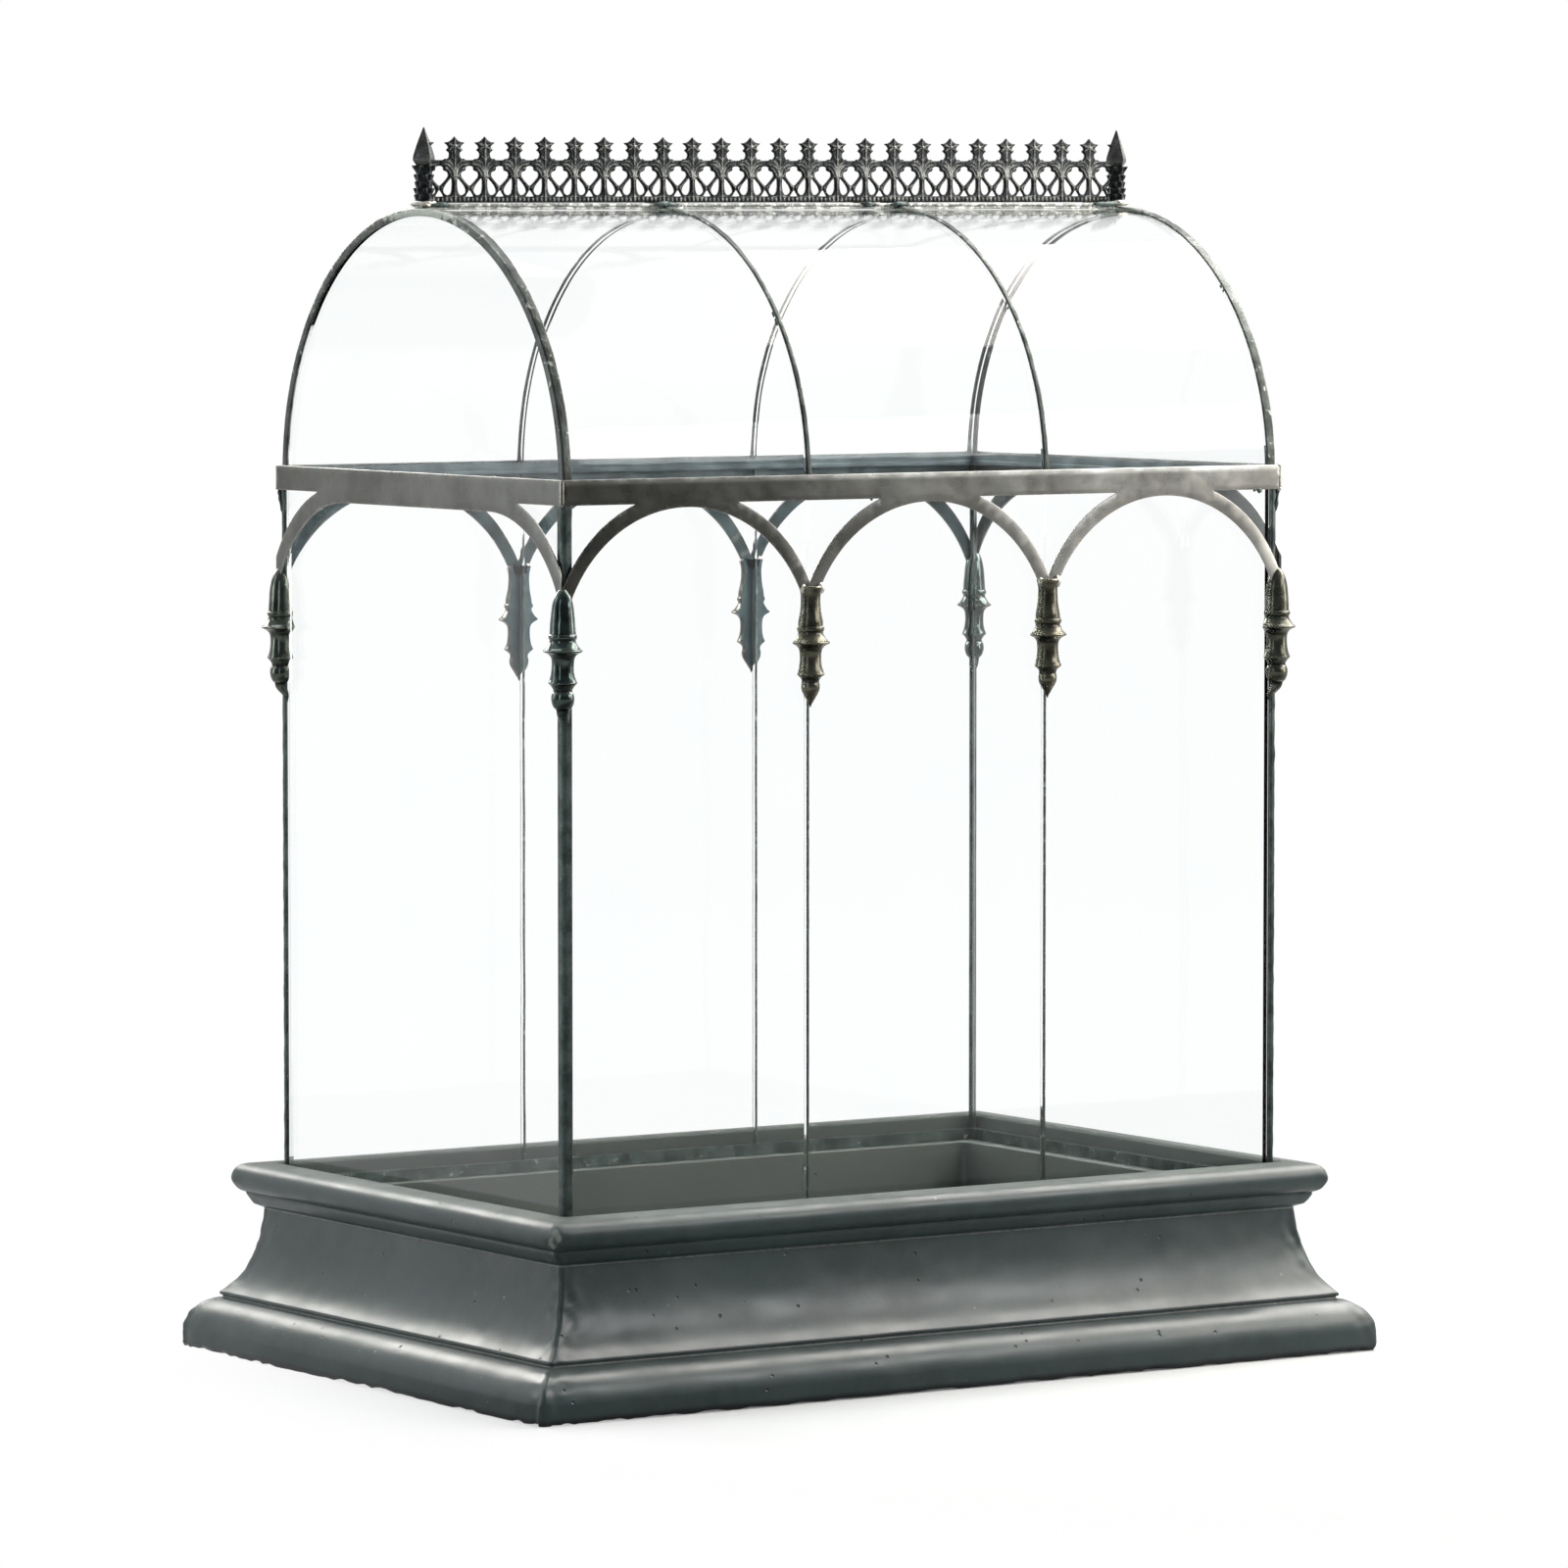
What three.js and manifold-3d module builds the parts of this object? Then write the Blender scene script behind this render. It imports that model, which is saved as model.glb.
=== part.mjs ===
// A wardian case: a leaded glasshouse with a barrel roof that stands in a moulded tray.
// Millimetres, +Z up. X runs along the long side, the front faces -Y, and the origin is the centre of
// the tray's underside.

import * as THREE from "three";
import { mergeVertices } from "three/addons/utils/BufferGeometryUtils.js";
import Module from "manifold-3d";

const wasm = await Module();
wasm.setup();

// Clearances and fineness

const seat = 0.3; // gap between two pieces that rest on each other or are soldered together
const weld = 1e-4; // points closer than this are one point
const facet = THREE.MathUtils.degToRad(7.5); // turn between two points of an arc
const turned = 14; // sides of a capital
const ovoloSteps = 6;
const cavettoSteps = 9;
const quarter = Math.PI / 2;

// Glasshouse walls

const houseLength = 446; // over the corner posts
const houseWidth = 282;
const wallHeight = 378; // of the corner posts
const longBays = 3; // panes in a long wall
const glassThickness = 2.5;
const cameThickness = 1.3; // of the sheet that posts and ribs are folded from
const postLeg = 4; // width of each leg of a corner post
const mullionFace = 1.6; // width of the strip that shows between two panes
const mullionLip = 0.4;
const mullionWeb = 0.8;
const sillHeight = 6;
const sillFloor = 2;
const sillLip = 1;

// Shoulder frame and arcades

const bandStand = 1; // from the posts' outer faces to the arcade sheets
const sheetThickness = 1.5;
const bandHeight = 13;
const bandRise = 4.8; // of the band's top edge above the shoulder bars
const barHeight = 2.6;
const barWidth = 6.8;
const archDrop = 2; // from the band down to the crown of a long wall's arch
const archSpread = 2; // by which the arch's radius is more than half its bay
const archWidth = 8;
const endArchRadius = 74;
const endArchSpread = 6;
const endArchWidth = 9.5;
const endArchDrop = 5;
const legLength = 50; // from the band down to the foot of the arch strips

// Capitals

const capitalTop = 40.5; // below the band
const capitalLength = 63;
const flangeRadius = 10.1;
const capitalOut = 1.7; // of a mullion capital's axis in front of its flat back
const cornerOut = 0.6; // of a corner capital's axis outside the corner post
const cornerBack = 6.3; // of a corner capital's diagonal back behind its axis
const mullionTail = 3;
const cornerTail = 11;

// Roof

const endRibWidth = 5;
const endRibFace = 4; // radial height of an end rib's upright face
const ribWidth = 3;
const ribWeb = 0.8;
const ridgeWidth = 10;
const ridgeThickness = 1.8;
const railWidth = 5; // of the ridge's lower rail, between the ribs
const railDepth = 1.5;

// Cresting and finials

const crestUnits = 23; // star-topped uprights
const crestHeight = 34.2;
const crestThickness = 1.2;
const crestEnd = 1.4; // solid strip beyond the last opening
const finialHeight = 39.1;
const finialInset = 3.7; // of a finial's axis from the end of the ridge
const finialStem = 4.5; // radius of the stem
const finialCollar = 7;
const finialHead = 6.3;

// Tray: insets are measured inwards from the plinth's face, heights from the underside.

const trayHeight = 100;
const trayWall = 38.5; // from the plinth's face to the mouth
const endClearance = 2; // between the mouth and the glasshouse's ends
const sideClearance = 4; // between the mouth and the glasshouse's long walls
const ledgeDepth = 14; // below the rim
const ledgeWidth = 16;
const floorThickness = 14;
const draft = 3; // by which the pan narrows from the ledge to its floor
const mouthRound = 1.5;

// Outline shares, chosen by hand. The first number of each pair is a share of a width or radius,
// the second a share of a height.

const plinthShares = { foot: [0.013, 0.02], face: 0.105, ovoloTurn: [0.038, 0.22], shoulder: [0.304, 0.263] };
const grooveShares = [[0.349, 0.269], [0.4, 0.27], [0.405, 0.282], [0.37, 0.286], [0.375, 0.302]];
const cavettoShares = { turn: [0.76, 0.42], neck: [0.83, 0.758] };
const beadShares = [[0.721, 0.777], [0.684, 0.8], [0.646, 0.824]];
const rimShares = { under: [0.641, 0.842], centre: [0.696, 0.915], radius: 0.078 };
const rollStart = THREE.MathUtils.degToRad(-108); // from straight out, down to the bead


const capitalShares = [
  [0.337, 0.011], [0.515, 0.052], [0.584, 0.092], [0.465, 0.16], [0.723, 0.225], [0.653, 0.271],
  [0.564, 0.317], [0.564, 0.389], [0.614, 0.429], [1, 0.484], [0.723, 0.538], [0.663, 0.567],
  [0.713, 0.598], [0.644, 0.659], [0.604, 0.738], [0.554, 0.849], [0.455, 0.897], [0.277, 0.944],
];
const tailShare = 0.24; // of the flange radius, halfway down a tail
const finialShares = [
  [1.2, 0], [1.2, 0.035], [1, 0.055], [1.35, 0.1], [1, 0.15], [1, 0.185], [1.4, 0.235], [0.97, 0.28],
  [0.88, 0.37],
];
const collarShares = { low: 0.4, edge: 0.435, high: 0.47 };
const headShares = { base: 0.47, widest: 0.56 };

// One upright of the cresting: shares of the pitch from its own middle, and of the cresting's height.

const starShares = [
  [0.3, 0.643], [0.2, 0.69], [0.177, 0.74], [0.18, 0.8], [0.287, 0.889], [0.094, 0.924],
];
const eggShares = [
  [0.09, 0.39], [0.14, 0.375], [0.245, 0.3], [0.35, 0.22], [0.29, 0.14], [0.15, 0.14], [0.085, 0.23],
];
// The openings between two uprights are measured from the middle between them.
const clubShares = [[0.1, 0.553], [0.115, 0.47], [0.16, 0.452], [0.28, 0.415], [0.06, 0.28]];
const triangleShares = [[0, 0.195], [0.145, 0.09], [-0.145, 0.09]];

// Heights and faces that follow from the sizes

const ledgeZ = trayHeight - ledgeDepth;
const houseZ = ledgeZ + seat;
const sillTopZ = houseZ + sillHeight;
const glassZ = houseZ + sillFloor + seat;
const postTopZ = houseZ + wallHeight;
const barZ = postTopZ + seat;
const springZ = barZ + barHeight + seat;
const bandTopZ = barZ + barHeight + bandRise;
const bandZ = bandTopZ - bandHeight;
const footZ = bandZ - legLength;
const ribRadius = houseWidth / 2;
const crownZ = springZ + ribRadius;
const ridgeZ = crownZ + seat;
const crestZ = ridgeZ + ridgeThickness + seat;
const glassRadius = ribRadius - cameThickness - seat; // outside of the bent panes
const glassIn = cameThickness + seat; // from the posts' outer faces to the flat panes
const glassMid = glassIn + glassThickness / 2;
const glassInner = glassIn + glassThickness;
const bayPitch = houseLength / longBays;
const mullionFront = glassIn - seat - mullionLip;

// Finishes

function finish(color, roughness, metalness) {
  return new THREE.MeshStandardMaterial({ color, roughness, metalness });
}
const slateCast = () => finish(0x4c5658, 0.42, 0);
const agedSheet = () => finish(0x67645c, 0.45, 0.8);
const darkCame = () => finish(0x3d4441, 0.4, 0.8);
const pewterCast = () => finish(0x4d4d44, 0.3, 0.9);
const blackenedCast = () => finish(0x3a3b39, 0.45, 0.8);

function clearGlass() {
  const glass = finish(0xdcebe6, 0.05, 0);
  glass.transparent = true;
  glass.opacity = 0.25;
  return glass;
}

// Solids

function welded(geometry) {
  geometry.deleteAttribute("normal");
  geometry.deleteAttribute("uv");
  return mergeVertices(geometry, weld);
}

function solid(geometry) {
  const whole = welded(geometry);
  return new wasm.Manifold(
    new wasm.Mesh({
      numProp: 3,
      vertProperties: whole.attributes.position.array,
      triVerts: new Uint32Array(whole.index.array),
    }),
  );
}

function shapeOf(manifold) {
  const mesh = manifold.getMesh();
  const geometry = new THREE.BufferGeometry();
  geometry.setAttribute("position", new THREE.BufferAttribute(mesh.vertProperties, 3));
  geometry.setIndex(new THREE.BufferAttribute(mesh.triVerts, 1));
  geometry.computeVertexNormals();
  return geometry;
}

// A box between two corners.
function block(low, high) {
  const size = high.map((v, i) => v - low[i]);
  const middle = high.map((v, i) => (v + low[i]) / 2);
  return new THREE.BoxGeometry(...size).translate(...middle);
}

// Points of an arc from one angle to another, both included, at even steps of about one facet.
function arc(x, z, radius, from, to) {
  const steps = Math.max(1, Math.round(Math.abs(to - from) / facet));
  return Array.from({ length: steps + 1 }, (_, i) => {
    const a = from + ((to - from) * i) / steps;
    return new THREE.Vector2(x + radius * Math.cos(a), z + radius * Math.sin(a));
  });
}

// An outline drawn in X and Z and given its thickness from y = 0 towards -Y.
function sheet(outline, thickness) {
  return new THREE.ExtrudeGeometry(outline, { depth: thickness, bevelEnabled: false }).rotateX(quarter);
}

// Prisms that cut openings through a sheet: they stand out of both its faces by its thickness.
function cutter(openings, thickness) {
  return solid(sheet(openings, 3 * thickness).translate(0, thickness, 0));
}

// A section drawn in Y and Z and drawn out along X, centred.
function barOf(outline, length) {
  const turn = new THREE.Matrix4().makeBasis(
    new THREE.Vector3(0, 1, 0),
    new THREE.Vector3(0, 0, 1),
    new THREE.Vector3(1, 0, 0),
  );
  const bar = new THREE.ExtrudeGeometry(outline, { depth: length, bevelEnabled: false });
  return bar.translate(0, 0, -length / 2).applyMatrix4(turn);
}

// A section drawn in X and Y, standing on z = 0.
function column(outline, height) {
  return new THREE.ExtrudeGeometry(outline, { depth: height, bevelEnabled: false });
}

// A turned piece from its profile of radius and height, foot first, with any number of sides.
function spindle(profile, sides, start = 0) {
  return new THREE.LatheGeometry(profile, sides, start).rotateX(quarter);
}

const outlineOf = (pairs) => new THREE.Shape(pairs.map(([x, y]) => new THREE.Vector2(x, y)));

const object = new THREE.Group();
const tray = new THREE.Group();
const glasshouse = new THREE.Group();
object.add(tray, glasshouse);

function place(group, name, geometry, material, { x = 0, y = 0, z = 0, turn = 0 } = {}) {
  const mesh = new THREE.Mesh(geometry, material);
  mesh.name = name;
  mesh.position.set(x, y, z);
  mesh.rotation.z = turn;
  group.add(mesh);
}

// The four sides: the side of the middle that each is on, and the turn that brings a front piece to it.
const longSides = [
  { name: "front", side: -1, turn: 0 },
  { name: "back", side: 1, turn: Math.PI },
];
const shortSides = [
  { name: "left", side: -1, turn: -quarter },
  { name: "right", side: 1, turn: quarter },
];
// The four corners, each with the turn that brings the back right corner to it.
const corners = [
  { name: "back_right", sx: 1, sy: 1, turn: 0 },
  { name: "back_left", sx: -1, sy: 1, turn: quarter },
  { name: "front_left", sx: -1, sy: -1, turn: Math.PI },
  { name: "front_right", sx: 1, sy: -1, turn: -quarter },
];

// Tray: one moulding, mitred round four sides and closed by its floor.

function trayProfile() {
  const at = ([inset, height]) => new THREE.Vector2(inset * trayWall, height * trayHeight);
  const { foot, face, ovoloTurn, shoulder } = plinthShares;
  const ovolo = new THREE.QuadraticBezierCurve(at([0, face]), at(ovoloTurn), at(shoulder));
  const cavettoFoot = at(grooveShares.at(-1));
  const cavetto = new THREE.QuadraticBezierCurve(cavettoFoot, at(cavettoShares.turn), at(cavettoShares.neck));
  const rim = at(rimShares.centre);
  const rimRadius = rimShares.radius * trayHeight;
  // The rim's roll, drawn as an arc that bulges towards smaller insets.
  const roll = arc(0, 0, rimRadius, rollStart, quarter).map((p) => {
    return new THREE.Vector2(rim.x - p.x, rim.y + p.y);
  });
  const panWall = trayWall + ledgeWidth;
  return [
    at([foot[0], 0]),
    at([0, foot[1]]),
    ...ovolo.getPoints(ovoloSteps),
    ...grooveShares.slice(0, -1).map(at),
    ...cavetto.getPoints(cavettoSteps),
    ...beadShares.map(at),
    at(rimShares.under),
    ...roll,
    new THREE.Vector2(trayWall - mouthRound, trayHeight),
    new THREE.Vector2(trayWall, trayHeight - mouthRound),
    new THREE.Vector2(trayWall, ledgeZ),
    new THREE.Vector2(panWall, ledgeZ),
    new THREE.Vector2(panWall + draft, floorThickness),
  ];
}

function trayGeometry() {
  const halfLength = houseLength / 2 + endClearance + trayWall;
  const halfWidth = houseWidth / 2 + sideClearance + trayWall;
  const rings = trayProfile().map((p) => new THREE.Vector2((halfWidth - p.x) * Math.SQRT2, p.y));
  const axisFoot = new THREE.Vector2(0, rings[0].y);
  const axisFloor = new THREE.Vector2(0, rings.at(-1).y);
  // A profile turned in four steps is a square moulding with mitred corners.
  const square = spindle([axisFoot, ...rings, axisFloor], 4, quarter / 2);
  const position = square.attributes.position;
  for (let i = 0; i < position.count; i++) {
    const x = position.getX(i);
    const onAxis = Math.abs(x) < weld;
    position.setX(i, onAxis ? 0 : x + Math.sign(x) * (halfLength - halfWidth));
  }
  return square;
}

place(tray, "tray", trayGeometry(), slateCast());

// Corner posts: angle strips, drawn with their outer corner at the origin.

const postOutline = outlineOf([
  [0, 0], [-postLeg, 0], [-postLeg, -cameThickness], [-cameThickness, -cameThickness],
  [-cameThickness, -postLeg], [0, -postLeg],
]);
for (const { name, sx, sy, turn } of corners) {
  const at = { x: (sx * houseLength) / 2, y: (sy * houseWidth) / 2, z: houseZ, turn };
  place(glasshouse, "post_" + name, column(postOutline, wallHeight), darkCame(), at);
}

// Sills: channels that hold the foot of the panes.

const halfChannel = glassThickness / 2 + seat;
const sillOutline = outlineOf([
  [-halfChannel - sillLip, 0], [halfChannel + sillLip, 0], [halfChannel + sillLip, sillHeight],
  [halfChannel, sillHeight], [halfChannel, sillFloor], [-halfChannel, sillFloor],
  [-halfChannel, sillHeight], [-halfChannel - sillLip, sillHeight],
]);
const longSill = houseLength - 2 * (glassInner + seat + sillLip + seat);
const shortSill = houseWidth - 2 * (postLeg + seat);
for (const { name, side, turn } of longSides) {
  const at = { y: side * (houseWidth / 2 - glassMid), z: houseZ, turn };
  place(glasshouse, "sill_" + name, barOf(sillOutline, longSill), darkCame(), at);
}
for (const { name, side, turn } of shortSides) {
  const at = { x: side * (houseLength / 2 - glassMid), z: houseZ, turn };
  place(glasshouse, "sill_" + name, barOf(sillOutline, shortSill), darkCame(), at);
}

// Mullions: strips on both faces of the glass, joined by a web between the panes.

const halfGlass = glassThickness / 2 + seat;
const mullionOutline = outlineOf([
  [-mullionFace / 2, -halfGlass - mullionLip], [mullionFace / 2, -halfGlass - mullionLip],
  [mullionFace / 2, -halfGlass], [mullionWeb / 2, -halfGlass], [mullionWeb / 2, halfGlass],
  [mullionFace / 2, halfGlass], [mullionFace / 2, halfGlass + mullionLip],
  [-mullionFace / 2, halfGlass + mullionLip], [-mullionFace / 2, halfGlass], [-mullionWeb / 2, halfGlass],
  [-mullionWeb / 2, -halfGlass], [-mullionFace / 2, -halfGlass],
]);
const mullionXs = Array.from({ length: longBays - 1 }, (_, i) => (i + 1) * bayPitch - houseLength / 2);
const mullionHeight = postTopZ - sillTopZ - seat;
for (const { name, side } of longSides) {
  mullionXs.forEach((x, i) => {
    const at = { x, y: side * (houseWidth / 2 - glassMid), z: sillTopZ + seat };
    place(glasshouse, `mullion_${name}_${i + 1}`, column(mullionOutline, mullionHeight), darkCame(), at);
  });
}

// Flat panes.

const halfJoint = mullionWeb / 2 + seat;
function wallPane(fromX, toX) {
  return block([fromX, -glassThickness / 2, glassZ], [toX, glassThickness / 2, postTopZ]);
}
for (const { name, side } of longSides) {
  const y = side * (houseWidth / 2 - glassMid);
  for (let i = 0; i < longBays; i++) {
    const from = i === 0 ? glassIn - houseLength / 2 : mullionXs[i - 1] + halfJoint;
    const to = i === longBays - 1 ? houseLength / 2 - glassIn : mullionXs[i] - halfJoint;
    place(glasshouse, `pane_${name}_${i + 1}`, wallPane(from, to), clearGlass(), { y });
  }
}
const endPaneHalf = houseWidth / 2 - glassInner - seat;
for (const { name, side, turn } of shortSides) {
  const at = { x: side * (houseLength / 2 - glassMid), turn };
  place(glasshouse, "pane_" + name, wallPane(-endPaneHalf, endPaneHalf), clearGlass(), at);
}

// Shoulder bars: the frame that ties the wall heads and carries the arcades and the roof.

const barOut = bandStand - seat;
const longBarHalf = houseLength / 2 + barOut;
const shortBarHalf = houseWidth / 2 + barOut - barWidth - seat;
for (const { name, side, turn } of longSides) {
  const bar = block([-longBarHalf, 0, 0], [longBarHalf, barWidth, barHeight]);
  const at = { y: side * (houseWidth / 2 + barOut), z: barZ, turn };
  place(glasshouse, "shoulder_bar_" + name, bar, darkCame(), at);
}
for (const { name, side, turn } of shortSides) {
  const bar = block([-shortBarHalf, 0, 0], [shortBarHalf, barWidth, barHeight]);
  const at = { x: side * longBarHalf, z: barZ, turn };
  place(glasshouse, "shoulder_bar_" + name, bar, darkCame(), at);
}

// Arcades: on each side one sheet, a straight band with arched strips below it. Each arch springs from
// two centres at one height, which are one centre in the long walls.

// The openings between neighbouring arches: curved triangles under the band.
function archGaps({ arches, radius, width, drop }) {
  const centreZ = bandZ - drop - radius;
  const outer = radius + width;
  const top = Math.asin((bandZ - centreZ) / outer);
  return arches.slice(1).map((arch, i) => {
    const low = arches[i].right;
    const join = Math.acos((arch.left - low) / 2 / outer);
    const down = arc(low, centreZ, outer, top, join);
    const up = arc(arch.left, centreZ, outer, Math.PI - join, Math.PI - top).slice(1);
    return new THREE.Shape([...down, ...up]);
  });
}

function arcadeGeometry(arcade) {
  const { half, arches, radius, width, drop } = arcade;
  const centreZ = bandZ - drop - radius;
  const outer = radius + width;
  const footAngle = (r) => Math.asin((footZ - centreZ) / r);
  const springAngle = footAngle(radius);

  // The outer edge of the last leg, from the band down to the sheet's end or to the foot.
  const lastCentre = arches.at(-1).right;
  const meetAngle = Math.asin((bandZ - centreZ) / outer);
  const endAngle = Math.max(footAngle(outer), Math.acos(Math.min(1, (half - lastCentre) / outer)));
  const leg = arc(lastCentre, centreZ, outer, meetAngle, endAngle);
  const rightEnd = [new THREE.Vector2(half, bandTopZ), new THREE.Vector2(half, bandZ), ...leg];
  if (leg.at(-1).y > footZ + weld) rightEnd.push(new THREE.Vector2(half, footZ));
  const leftEnd = rightEnd.map((p) => new THREE.Vector2(-p.x, p.y)).reverse();

  const arch = ({ left, right }) => {
    const rise = arc(right, centreZ, radius, springAngle, quarter);
    const fall = arc(left, centreZ, radius, quarter, Math.PI - springAngle);
    return [...rise, ...fall.slice(left === right ? 1 : 0)];
  };
  const outline = [...rightEnd, ...arches.toReversed().flatMap(arch), ...leftEnd];

  // Mitred ends: the back face is shorter than the front one by the sheet's thickness.
  const plate = sheet(new THREE.Shape(outline), sheetThickness);
  const position = plate.attributes.position;
  for (let i = 0; i < position.count; i++) {
    const x = position.getX(i);
    const atBack = position.getY(i) > -sheetThickness / 2;
    if (atBack && Math.abs(x) > half - weld) position.setX(i, Math.sign(x) * (half - sheetThickness));
  }
  return arches.length > 1 ? shapeOf(solid(plate).subtract(cutter(archGaps(arcade), sheetThickness))) : plate;
}

const sheetOut = bandStand + sheetThickness;
const mitreGap = seat / Math.SQRT2;
const longArches = Array.from({ length: longBays }, (_, i) => {
  const middle = (i + 0.5) * bayPitch - houseLength / 2;
  return { left: middle, right: middle };
});
const endCentre = houseWidth / 2 + endArchSpread - endArchRadius;
const longArcade = {
  half: houseLength / 2 + sheetOut - mitreGap,
  arches: longArches,
  radius: bayPitch / 2 + archSpread,
  width: archWidth,
  drop: archDrop,
};
const shortArcade = {
  half: houseWidth / 2 + sheetOut - mitreGap,
  arches: [{ left: -endCentre, right: endCentre }],
  radius: endArchRadius,
  width: endArchWidth,
  drop: endArchDrop,
};
for (const { name, side, turn } of longSides) {
  const at = { y: side * (houseWidth / 2 + bandStand), turn };
  place(glasshouse, "arcade_" + name, arcadeGeometry(longArcade), agedSheet(), at);
}
for (const { name, side, turn } of shortSides) {
  const at = { x: side * (houseLength / 2 + bandStand), turn };
  place(glasshouse, "arcade_" + name, arcadeGeometry(shortArcade), agedSheet(), at);
}

// Capitals: one turned casting, cut flat at the back and hollowed where the arch strips enter it.

const capitalZ = bandZ - capitalTop - capitalLength;
const headZ = footZ - capitalZ - seat; // where the strips enter, above the capital's foot
function capitalSpindle(tail) {
  const body = capitalShares.map(([r, h]) => new THREE.Vector2(r * flangeRadius, h * capitalLength));
  const foot = new THREE.Vector2(0, -tail);
  const waist = new THREE.Vector2(tailShare * flangeRadius, -tail / 2);
  return solid(spindle([foot, waist, ...body, new THREE.Vector2(0, capitalLength)], turned));
}

const mullionAxis = houseWidth / 2 - mullionFront + seat + capitalOut;
// Cutting blocks run past the casting by its own length.
const far = capitalLength;
const above = 2 * capitalLength;

function mullionCapital() {
  const stripFace = houseWidth / 2 + sheetOut + seat - mullionAxis;
  const back = solid(block([-far, capitalOut, -far], [far, far, above]));
  const slot = solid(block([-far, -stripFace, headZ], [far, far, above]));
  return shapeOf(capitalSpindle(mullionTail).subtract(back).subtract(slot));
}

// A corner capital is drawn for the back right corner, with the post's outer corner at the origin.
function cornerCapital() {
  const body = capitalSpindle(cornerTail).translate([cornerOut, cornerOut, 0]);
  const post = solid(block([-far, -far, -far], [seat, seat, above]));
  const strips = solid(block([-far, -far, headZ], [sheetOut + seat, sheetOut + seat, above]));
  const behind = block([-far, -far, -far], [-cornerBack, far, above]);
  const diagonal = solid(behind.rotateZ(quarter / 2).translate(cornerOut, cornerOut, 0));
  return shapeOf(body.subtract(post).subtract(strips).subtract(diagonal));
}

for (const { name, sx, sy, turn } of corners) {
  const at = { x: (sx * houseLength) / 2, y: (sy * houseWidth) / 2, z: capitalZ, turn };
  place(glasshouse, "capital_" + name, cornerCapital(), pewterCast(), at);
}
for (const { name, side, turn } of longSides) {
  mullionXs.forEach((x, i) => {
    const at = { x, y: side * mullionAxis, z: capitalZ, turn };
    place(glasshouse, `capital_${name}_${i + 1}`, mullionCapital(), pewterCast(), at);
  });
}

// Roof ribs: half rings with their centre on the spring line.

function halfRing(inner, outer) {
  return new THREE.Shape([...arc(0, 0, outer, 0, Math.PI), ...arc(0, 0, inner, Math.PI, 0)]);
}

function ribFlange(width) {
  return barOf(halfRing(ribRadius - cameThickness, ribRadius), width);
}

// An end rib is an angle: a flange over the panes' edge and a face over the end pane.
function endRib() {
  const flange = solid(ribFlange(endRibWidth));
  const face = solid(barOf(halfRing(ribRadius - endRibFace, ribRadius), cameThickness));
  return shapeOf(flange.add(face.translate([(endRibWidth - cameThickness) / 2, 0, 0])));
}

// A middle rib is a tee: a flange outside and a web between the bent panes.
function middleRib() {
  const web = solid(barOf(halfRing(glassRadius - glassThickness, ribRadius - cameThickness / 2), ribWeb));
  return shapeOf(solid(ribFlange(ribWidth)).add(web));
}

const endRibX = (houseLength - endRibWidth) / 2;
place(glasshouse, "rib_right", endRib(), darkCame(), { x: endRibX, z: springZ });
place(glasshouse, "rib_left", endRib(), darkCame(), { x: -endRibX, z: springZ, turn: Math.PI });
mullionXs.forEach((x, i) => place(glasshouse, `rib_${i + 1}`, middleRib(), darkCame(), { x, z: springZ }));

// Bent panes, one to each bay and side, and a half-round pane in each end.

function bentPane(length) {
  const crown = quarter - Math.asin(seat / glassRadius);
  const outside = arc(0, 0, glassRadius, 0, crown);
  const inside = arc(0, 0, glassRadius - glassThickness, crown, 0);
  return barOf(new THREE.Shape([...outside, ...inside]), length);
}

const webJoint = ribWeb / 2 + seat;
for (let i = 0; i < longBays; i++) {
  const from = i === 0 ? glassInner + seat - houseLength / 2 : mullionXs[i - 1] + webJoint;
  const to = i === longBays - 1 ? houseLength / 2 - glassInner - seat : mullionXs[i] - webJoint;
  const at = { x: (from + to) / 2, z: springZ };
  place(glasshouse, `roof_pane_back_${i + 1}`, bentPane(to - from), clearGlass(), at);
  place(glasshouse, `roof_pane_front_${i + 1}`, bentPane(to - from), clearGlass(), { ...at, turn: Math.PI });
}

const halfDisc = new THREE.Shape(arc(0, 0, glassRadius, 0, Math.PI));
for (const { name, side } of shortSides) {
  const at = { x: side * (houseLength / 2 - glassMid), z: springZ };
  place(glasshouse, "end_light_" + name, barOf(halfDisc, glassThickness), clearGlass(), at);
}

// Ridge: a flat strip over the ribs' crowns, with a rail under it in each bay.

function ridgeGeometry() {
  const half = houseLength / 2;
  let ridge = solid(block([-half, -ridgeWidth / 2, 0], [half, ridgeWidth / 2, ridgeThickness]));
  for (let i = 0; i < longBays; i++) {
    const from = i === 0 ? endRibWidth + seat - half : mullionXs[i - 1] + ribWidth / 2 + seat;
    const to = i === longBays - 1 ? half - endRibWidth - seat : mullionXs[i] - ribWidth / 2 - seat;
    const low = [from, -railWidth / 2, -railDepth];
    ridge = ridge.add(solid(block(low, [to, railWidth / 2, ridgeThickness / 2])));
  }
  return shapeOf(ridge);
}
place(glasshouse, "ridge", ridgeGeometry(), darkCame(), { z: ridgeZ });

// Cresting: a pierced strip with a star on each upright.

const finialX = houseLength / 2 - finialInset;
const crestPitch = (2 * finialX) / (crestUnits + 1);
const crestHalf = finialX - finialCollar - seat;

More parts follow.
